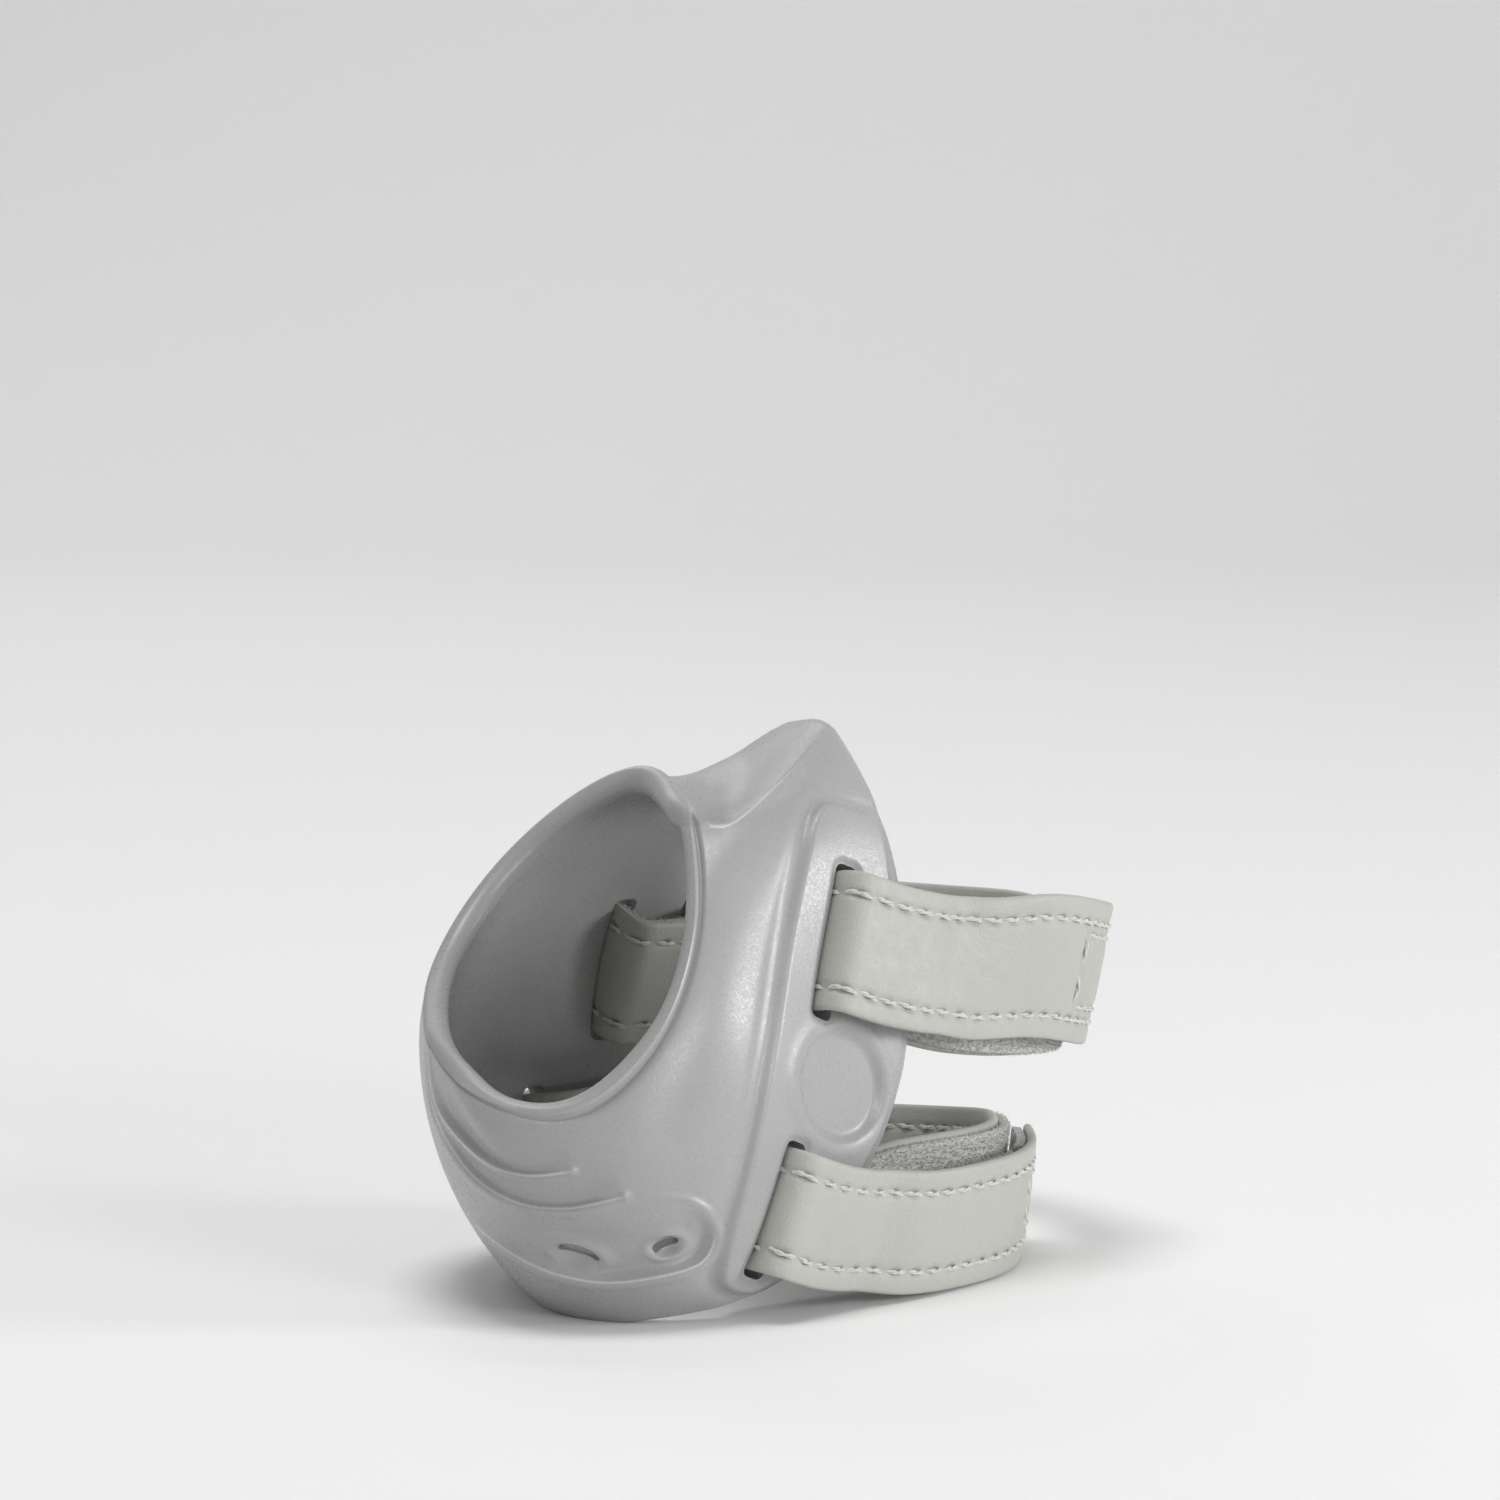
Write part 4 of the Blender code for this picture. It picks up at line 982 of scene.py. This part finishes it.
def grained_cloth():
    """Coated cloth: fine pebbled grain, soft creases, faint cloudiness."""
    paint = painted("grained_cloth", (0.44, 0.44, 0.408), 0.5)
    feed(paint, "Base Color", clouds(paint, (0.42, 0.42, 0.39), (0.455, 0.455, 0.422), 70, 4))
    feed(paint, "Roughness", clouds(paint, 0.45, 0.6, 700, 2))
    crease = bumped(paint, noise(paint, 420, 4, 0.65), 0.0006, 0.12)
    grain = stepped(paint.tree, cells(paint, 1900, "DISTANCE_TO_EDGE"), (0.0, 0.0), (0.25, 1.0))
    bumped(paint, grain, 0.00006, 0.35, crease)
    return paint.material


def plush():
    """Short brushed pile."""
    paint = painted("plush", (0.52, 0.52, 0.5), 0.95)
    feed(paint, "Base Color", clouds(paint, (0.43, 0.43, 0.41), (0.62, 0.62, 0.6), 1500, 3, 0.7))
    paint.surface.inputs["Sheen Weight"].default_value = 0.35
    paint.surface.inputs["Sheen Roughness"].default_value = 0.6
    bumped(paint, noise(paint, 1700, 4, 0.7), 0.0003, 0.8)
    return paint.material


CLOTH = grained_cloth()
PLUSH = plush()


def dressed(obj, material, node):
    """Material of a piece, and what it rides, replaces and is made of."""
    obj.data.materials.clear()
    obj.data.materials.append(material)
    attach(obj, "root")
    if node:
        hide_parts(node)


def tree_with(name, sizes):
    """Geometry node tree with named inputs: tree, inputs, end and the inputs' values."""
    tree = bpy.data.node_groups.new(name, "GeometryNodeTree")
    tree.interface.new_socket("Geometry", in_out="INPUT", socket_type="NodeSocketGeometry")
    values = {}
    for label, kind, value in sizes:
        socket = tree.interface.new_socket(label, in_out="INPUT", socket_type=f"NodeSocket{kind}")
        values[socket.identifier] = value
    tree.interface.new_socket("Geometry", in_out="OUTPUT", socket_type="NodeSocketGeometry")
    return tree, tree.nodes.new("NodeGroupInput").outputs, tree.nodes.new("NodeGroupOutput").inputs, values


def copied(tree, source, end, points, shape, facing, lean):
    """Ends a tree with copies of the shape on the points, leaning at random between two limits."""
    inputs = {0: lean[0], 1: lean[1], "Seed": source["Seed"]}
    tilt = wired(tree, "FunctionNodeRandomValue", inputs, data_type="FLOAT_VECTOR")
    inputs = {"Rotation": facing, "Rotate By": tilt}
    turned = wired(tree, "FunctionNodeRotateRotation", inputs, rotation_space="LOCAL")
    inputs = {"Points": points, "Instance": shape, "Rotation": turned}
    real = wired(tree, "GeometryNodeRealizeInstances", {
        "Geometry": wired(tree, "GeometryNodeInstanceOnPoints", inputs),
    })
    finish = wired(tree, "GeometryNodeSetMaterial", {"Geometry": real, "Material": source["Material"]})
    tree.links.new(finish.outputs[0], end["Geometry"])


def grown(tree, values, obj, name):
    """The plain mesh that a tree makes from an object."""
    modifier = obj.modifiers.new(tree.name, "NODES")
    modifier.node_group = tree
    for identifier, value in values.items():
        modifier[identifier] = value
    return baked(obj, name)


def pile_tree(name):
    """Short tapered fibres over the faces that carry pile."""
    tree, source, end, values = tree_with(name, (
        ("Fibres per square metre", "Float", 11e6),
        ("Fibre length", "Float", 0.00042),
        ("Fibre width", "Float", 0.00006),
        ("Seed", "Int", 7),
        ("Material", "Material", PLUSH),
    ))
    weight = wired(tree, "GeometryNodeInputNamedAttribute", {"Name": "pile"}, data_type="FLOAT")
    density = maths(tree, "MULTIPLY", weight, source["Fibres per square metre"])
    inputs = {"Mesh": source["Geometry"], "Density": density, "Seed": source["Seed"]}
    scatter = wired(tree, "GeometryNodeDistributePointsOnFaces", inputs)
    fibre = wired(tree, "GeometryNodeMeshCone", {
        "Vertices": 3, "Radius Top": 0,
        "Radius Bottom": source["Fibre width"], "Depth": source["Fibre length"],
    }, fill_type="NONE")
    lean = ((-0.8, -0.8, -3.1), (0.8, 0.8, 3.1))
    copied(tree, source, end, scatter, fibre, scatter.outputs["Rotation"], lean)
    return tree, values


def thread():
    """Bonded sewing thread."""
    paint = painted("thread", (0.6, 0.6, 0.565), 0.55)
    feed(paint, "Base Color", clouds(paint, (0.52, 0.52, 0.49), (0.66, 0.66, 0.63), 2600, 2))
    bumped(paint, noise(paint, 5200, 2), 0.00004, 0.5)
    return paint.material


THREAD = thread()


def stitch_tree(name):
    """A twisted two-strand stitch on every point, laid along its seam and sunk at both ends."""
    tree, source, end, values = tree_with(name, (
        ("Stitch length", "Float", 0.0029),
        ("Strand radius", "Float", 0.000165),
        ("Twist radius", "Float", 0.00012),
        ("End depth", "Float", 0.00055),
        ("Seed", "Int", 3),
        ("Material", "Material", THREAD),
    ))
    helix = wired(tree, "GeometryNodeCurveSpiral", {
        "Resolution": 9, "Rotations": 1.1, "Height": source["Stitch length"],
        "Start Radius": source["Twist radius"], "End Radius": source["Twist radius"],
    })
    other = wired(tree, "GeometryNodeTransform", {"Rotation": (0, 0, pi), "Geometry": helix})
    pair = wired(tree, "GeometryNodeJoinGeometry", {"Geometry": helix})
    tree.links.new(other.outputs[0], pair.inputs["Geometry"])
    share = tree.nodes.new("GeometryNodeSplineParameter")
    from_middle = maths(tree, "ABSOLUTE", maths(tree, "MULTIPLY_ADD", share, 2, -1))
    depth = maths(tree, "MULTIPLY", source["End depth"], -1)
    down = wired(tree, "ShaderNodeCombineXYZ", {
        "X": maths(tree, "MULTIPLY", maths(tree, "POWER", from_middle, 3), depth),
        "Z": maths(tree, "MULTIPLY", source["Stitch length"], -0.5),
    })
    laid = wired(tree, "GeometryNodeSetPosition", {"Geometry": pair, "Offset": down})
    inputs = {"Resolution": 6, "Radius": source["Strand radius"]}
    strand = wired(tree, "GeometryNodeCurvePrimitiveCircle", inputs)
    inputs = {"Curve": laid, "Profile Curve": strand, "Fill Caps": True}
    smooth = wired(tree, "GeometryNodeSetShadeSmooth", {
        "Geometry": wired(tree, "GeometryNodeCurveToMesh", inputs),
    })

    def aligned(label, inputs, **settings):
        way = wired(tree, "GeometryNodeInputNamedAttribute", {"Name": label}, data_type="FLOAT_VECTOR")
        inputs = {"Vector": way, **inputs}
        return wired(tree, "FunctionNodeAlignRotationToVector", inputs, **settings)

    along = aligned("along", {}, axis="Z")
    upright = aligned("out", {"Rotation": along}, axis="X", pivot_axis="Z")
    lean = ((-0.14, -0.03, -0.5), (0.02, 0.03, 0.5))
    copied(tree, source, end, source["Geometry"], smooth, upright, lean)
    return tree, values


def seam_points(route, seams, width, level):
    """One point for each stitch, with its seam's direction and the outward direction."""
    middle, across, outwards, run = route
    ahead = np.gradient(middle, run, axis=0)
    places, alongs, outs = [], [], []

    def at_run(at, rows):
        return np.array([np.interp(at, run, column) for column in rows.T])

    for start, end, u_start, u_end in seams:
        lengthwise = u_start == u_end
        count = max(1, int((end - start if lengthwise else u_end - u_start) / STITCH_PITCH))
        first = (floor(start / STITCH_PITCH) + 1) * STITCH_PITCH
        for k in range(count):
            at = first + k * STITCH_PITCH if lengthwise else start
            u = u_start if lengthwise else u_start + (k + 0.5) * cross_pitch(u_start, u_end)
            crown = FACE_CROWN * (1 - (2 * u / width) ** 2)
            out = unit(at_run(at, outwards))
            places.append(at_run(at, middle + across * u) + out * (level + crown))
            alongs.append(unit(at_run(at, ahead if lengthwise else across)))
            outs.append(out)
    mesh = bpy.data.meshes.new("seam_points")
    mesh.from_pydata((np.array(places) + MOULD_ZERO).tolist(), [], [])
    carried(mesh, "along", alongs)
    carried(mesh, "out", outs)
    return linked("seam_points", mesh)


def lined_strap(side, outer, inner, width, flare, box_end, seed):
    """Face, lining, pile and seams of one strap."""
    route = strap_route(outer, inner, BARS[side + "_front"], BARS[side + "_palm"], width, flare)
    run = route[3]
    low, high = STRAP_GAP / 2, STRAP_GAP / 2 + STRAP_FACE
    seam = width / 2 - SEAM_INSET
    by_seam = seam + np.linspace(-SEAM_REACH, SEAM_REACH, SEAM_COLUMNS)
    rest = np.linspace(SEAM_CLEAR - seam, seam - SEAM_CLEAR, SEAM_COLUMNS)
    profile = band_profile(width, low, high, np.concatenate([-by_seam, by_seam, rest]))
    seams = strap_seams(run[-1], width, box_end)
    heights = face_heights(route, profile, width, low, high, seams, seed)
    face = band_object(f"{side}_strap_cloth", route, profile, heights)
    dressed(face, CLOTH, f"{side}_strap_face")

    lined = run > HOOK_PATCH_LENGTH + STRAP_GAP
    lining_route = tuple(part[lined][::-2][::-1] for part in route)
    narrow = width - 2 * LINING_INSET
    columns = np.linspace(-0.4, 0.4, LINING_COLUMNS) * narrow
    profile = band_profile(narrow, -low - LINING_CORE, -low, columns)
    heights = np.broadcast_to(profile[None, :, 1], (len(lining_route[0]), len(profile)))
    core = band_object(f"{side}_strap_backing", lining_route, profile, heights)
    weights = np.zeros(len(core.data.polygons))
    on_pile = np.tile(profile[:, 1] < -low - 0.2 * LINING_CORE, len(lining_route[0]) - 1)
    weights[: len(on_pile)] = on_pile
    ground = linked("pile_ground", core.data.copy())
    carried(ground.data, "pile", weights, "FACE")
    pile = grown(*pile_tree(f"{side}_pile"), ground, f"{side}_strap_pile")
    dressed(core, PLUSH, f"{side}_strap_lining")
    dressed(pile, PLUSH, None)

    points = seam_points(route, seams, width, high - 0.4 * STITCH_DIP)
    sewing = grown(*stitch_tree(f"{side}_stitch"), points, f"{side}_strap_stitching")
    dressed(sewing, THREAD, None)


lined_strap("upper", UPPER_OUTER, UPPER_INNER, UPPER_STRAP_WIDTH, UPPER_END_FLARE, UPPER_BOX_END, 11)
lined_strap("lower", LOWER_OUTER, LOWER_INNER, LOWER_STRAP_WIDTH, 0.0, LOWER_BOX_END, 23)

# Hook patches: a square of nylon hook tape under the free end of each strap.
# The tape grips the plush of the layer below it and is sewn on through the face.


def hook_tape():
    """Nylon tape with fine hooks all over it."""
    paint = painted("hook_tape", (0.45, 0.45, 0.44), 0.6)
    hooks = cells(paint, 1300, "F1")
    feed(paint, "Base Color", stepped(paint.tree, hooks, (0.1, (0.6, 0.6, 0.59)), (0.6, (0.36, 0.36, 0.35))))
    bumped(paint, stepped(paint.tree, hooks, (0.1, 1.0), (0.5, 0.0)), 0.0003, 0.9)
    return paint.material


HOOKS = hook_tape()
for name in ("upper_hook_patch", "lower_hook_patch"):
    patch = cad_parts[name]
    patch.data.materials.clear()
    patch.data.materials.append(HOOKS)

# Studio: one pale sheet of paper, laid level and bent up behind, under soft round lamps.
# The lamp beside the thumb and the one beside the back of the hand give the shell its two shines,
# and the camera stands where the photograph was taken from.
SWEEP_HALF = 8.0
SWEEP_FRONT = 8.0
SWEEP_BACK = 1.6
SWEEP_BEND = 0.6
SWEEP_TOP = 2.6
SWEEP_STEPS = 16
SKY_STRENGTH = 0.28
LENS_LENGTH = 160
SENSOR_WIDTH = 36
CAMERA_TILT = 84
CAMERA_PLACE = (-0.001579, -0.68168, 0.13261)
SPLINT_MIDDLE = (0, 0, 0.03)
LAMPS = (
    ("front", (0.60, -0.85, 0.30), SPLINT_MIDDLE, 0.36, 3.0),
    ("side", (0.98, -0.12, 0.20), SPLINT_MIDDLE, 0.28, 4.3),
    ("top", (-0.10, -0.15, 1.15), SPLINT_MIDDLE, 0.50, 5.4),
    ("left", (-0.95, -0.20, 0.30), SPLINT_MIDDLE, 0.40, 0.5),
    ("back", (-0.35, 1.0, 0.70), SPLINT_MIDDLE, 0.50, 1.0),
    ("backdrop", (0.0, 0.75, 1.3), (0.0, 1.5, 0.1), 0.60, 2.6),
)


def pale_sweep():
    """Floor and backdrop in one sheet."""
    line = [(-SWEEP_FRONT, 0.0), (SWEEP_BACK - SWEEP_BEND, 0.0)]
    for k in range(1, SWEEP_STEPS + 1):
        a = pi / 2 * k / SWEEP_STEPS
        back = SWEEP_BACK - SWEEP_BEND + SWEEP_BEND * sin(a)
        line.append((back, SWEEP_BEND - SWEEP_BEND * cos(a)))
    line.append((SWEEP_BACK, SWEEP_TOP))
    points = [(x, y, z) for x in (-SWEEP_HALF, SWEEP_HALF) for y, z in line]
    count = len(line)
    faces = [[k, count + k, count + k + 1, k + 1] for k in range(count - 1)]
    mesh = bpy.data.meshes.new("pale_sweep")
    mesh.from_pydata(points, [], faces)
    mesh.shade_smooth()
    paint = painted("pale_paper", (0.93, 0.93, 0.93), 0.9)
    bumped(paint, noise(paint, 300, 2), 0.0002, 0.1)
    mesh.materials.append(paint.material)
    linked("pale_sweep", mesh)


pale_sweep()
for name, place, aim, size, power in LAMPS:
    light = bpy.data.lights.new(name, "AREA")
    light.shape = "DISK"
    light.size = size
    light.energy = power
    lamp = linked(name, light)
    lamp.location = place
    lamp.rotation_euler = (Vector(aim) - Vector(place)).to_track_quat("-Z", "Y").to_euler()

world = bpy.data.worlds.new("studio")
world.use_nodes = True
sky = world.node_tree.nodes["Background"].inputs
sky["Color"].default_value = (1, 1, 1, 1)
sky["Strength"].default_value = SKY_STRENGTH
bpy.context.scene.world = world
bpy.context.scene.view_settings.view_transform = "Standard"

lens = bpy.data.cameras.new("camera")
lens.lens = LENS_LENGTH
lens.sensor_width = SENSOR_WIDTH
camera = linked("camera", lens)
camera.location = Vector(CAMERA_PLACE) + Vector(MOULD_ZERO.tolist())
camera.rotation_euler = (radians(CAMERA_TILT), 0, 0)
bpy.context.scene.camera = camera

bpy.context.view_layer.update()
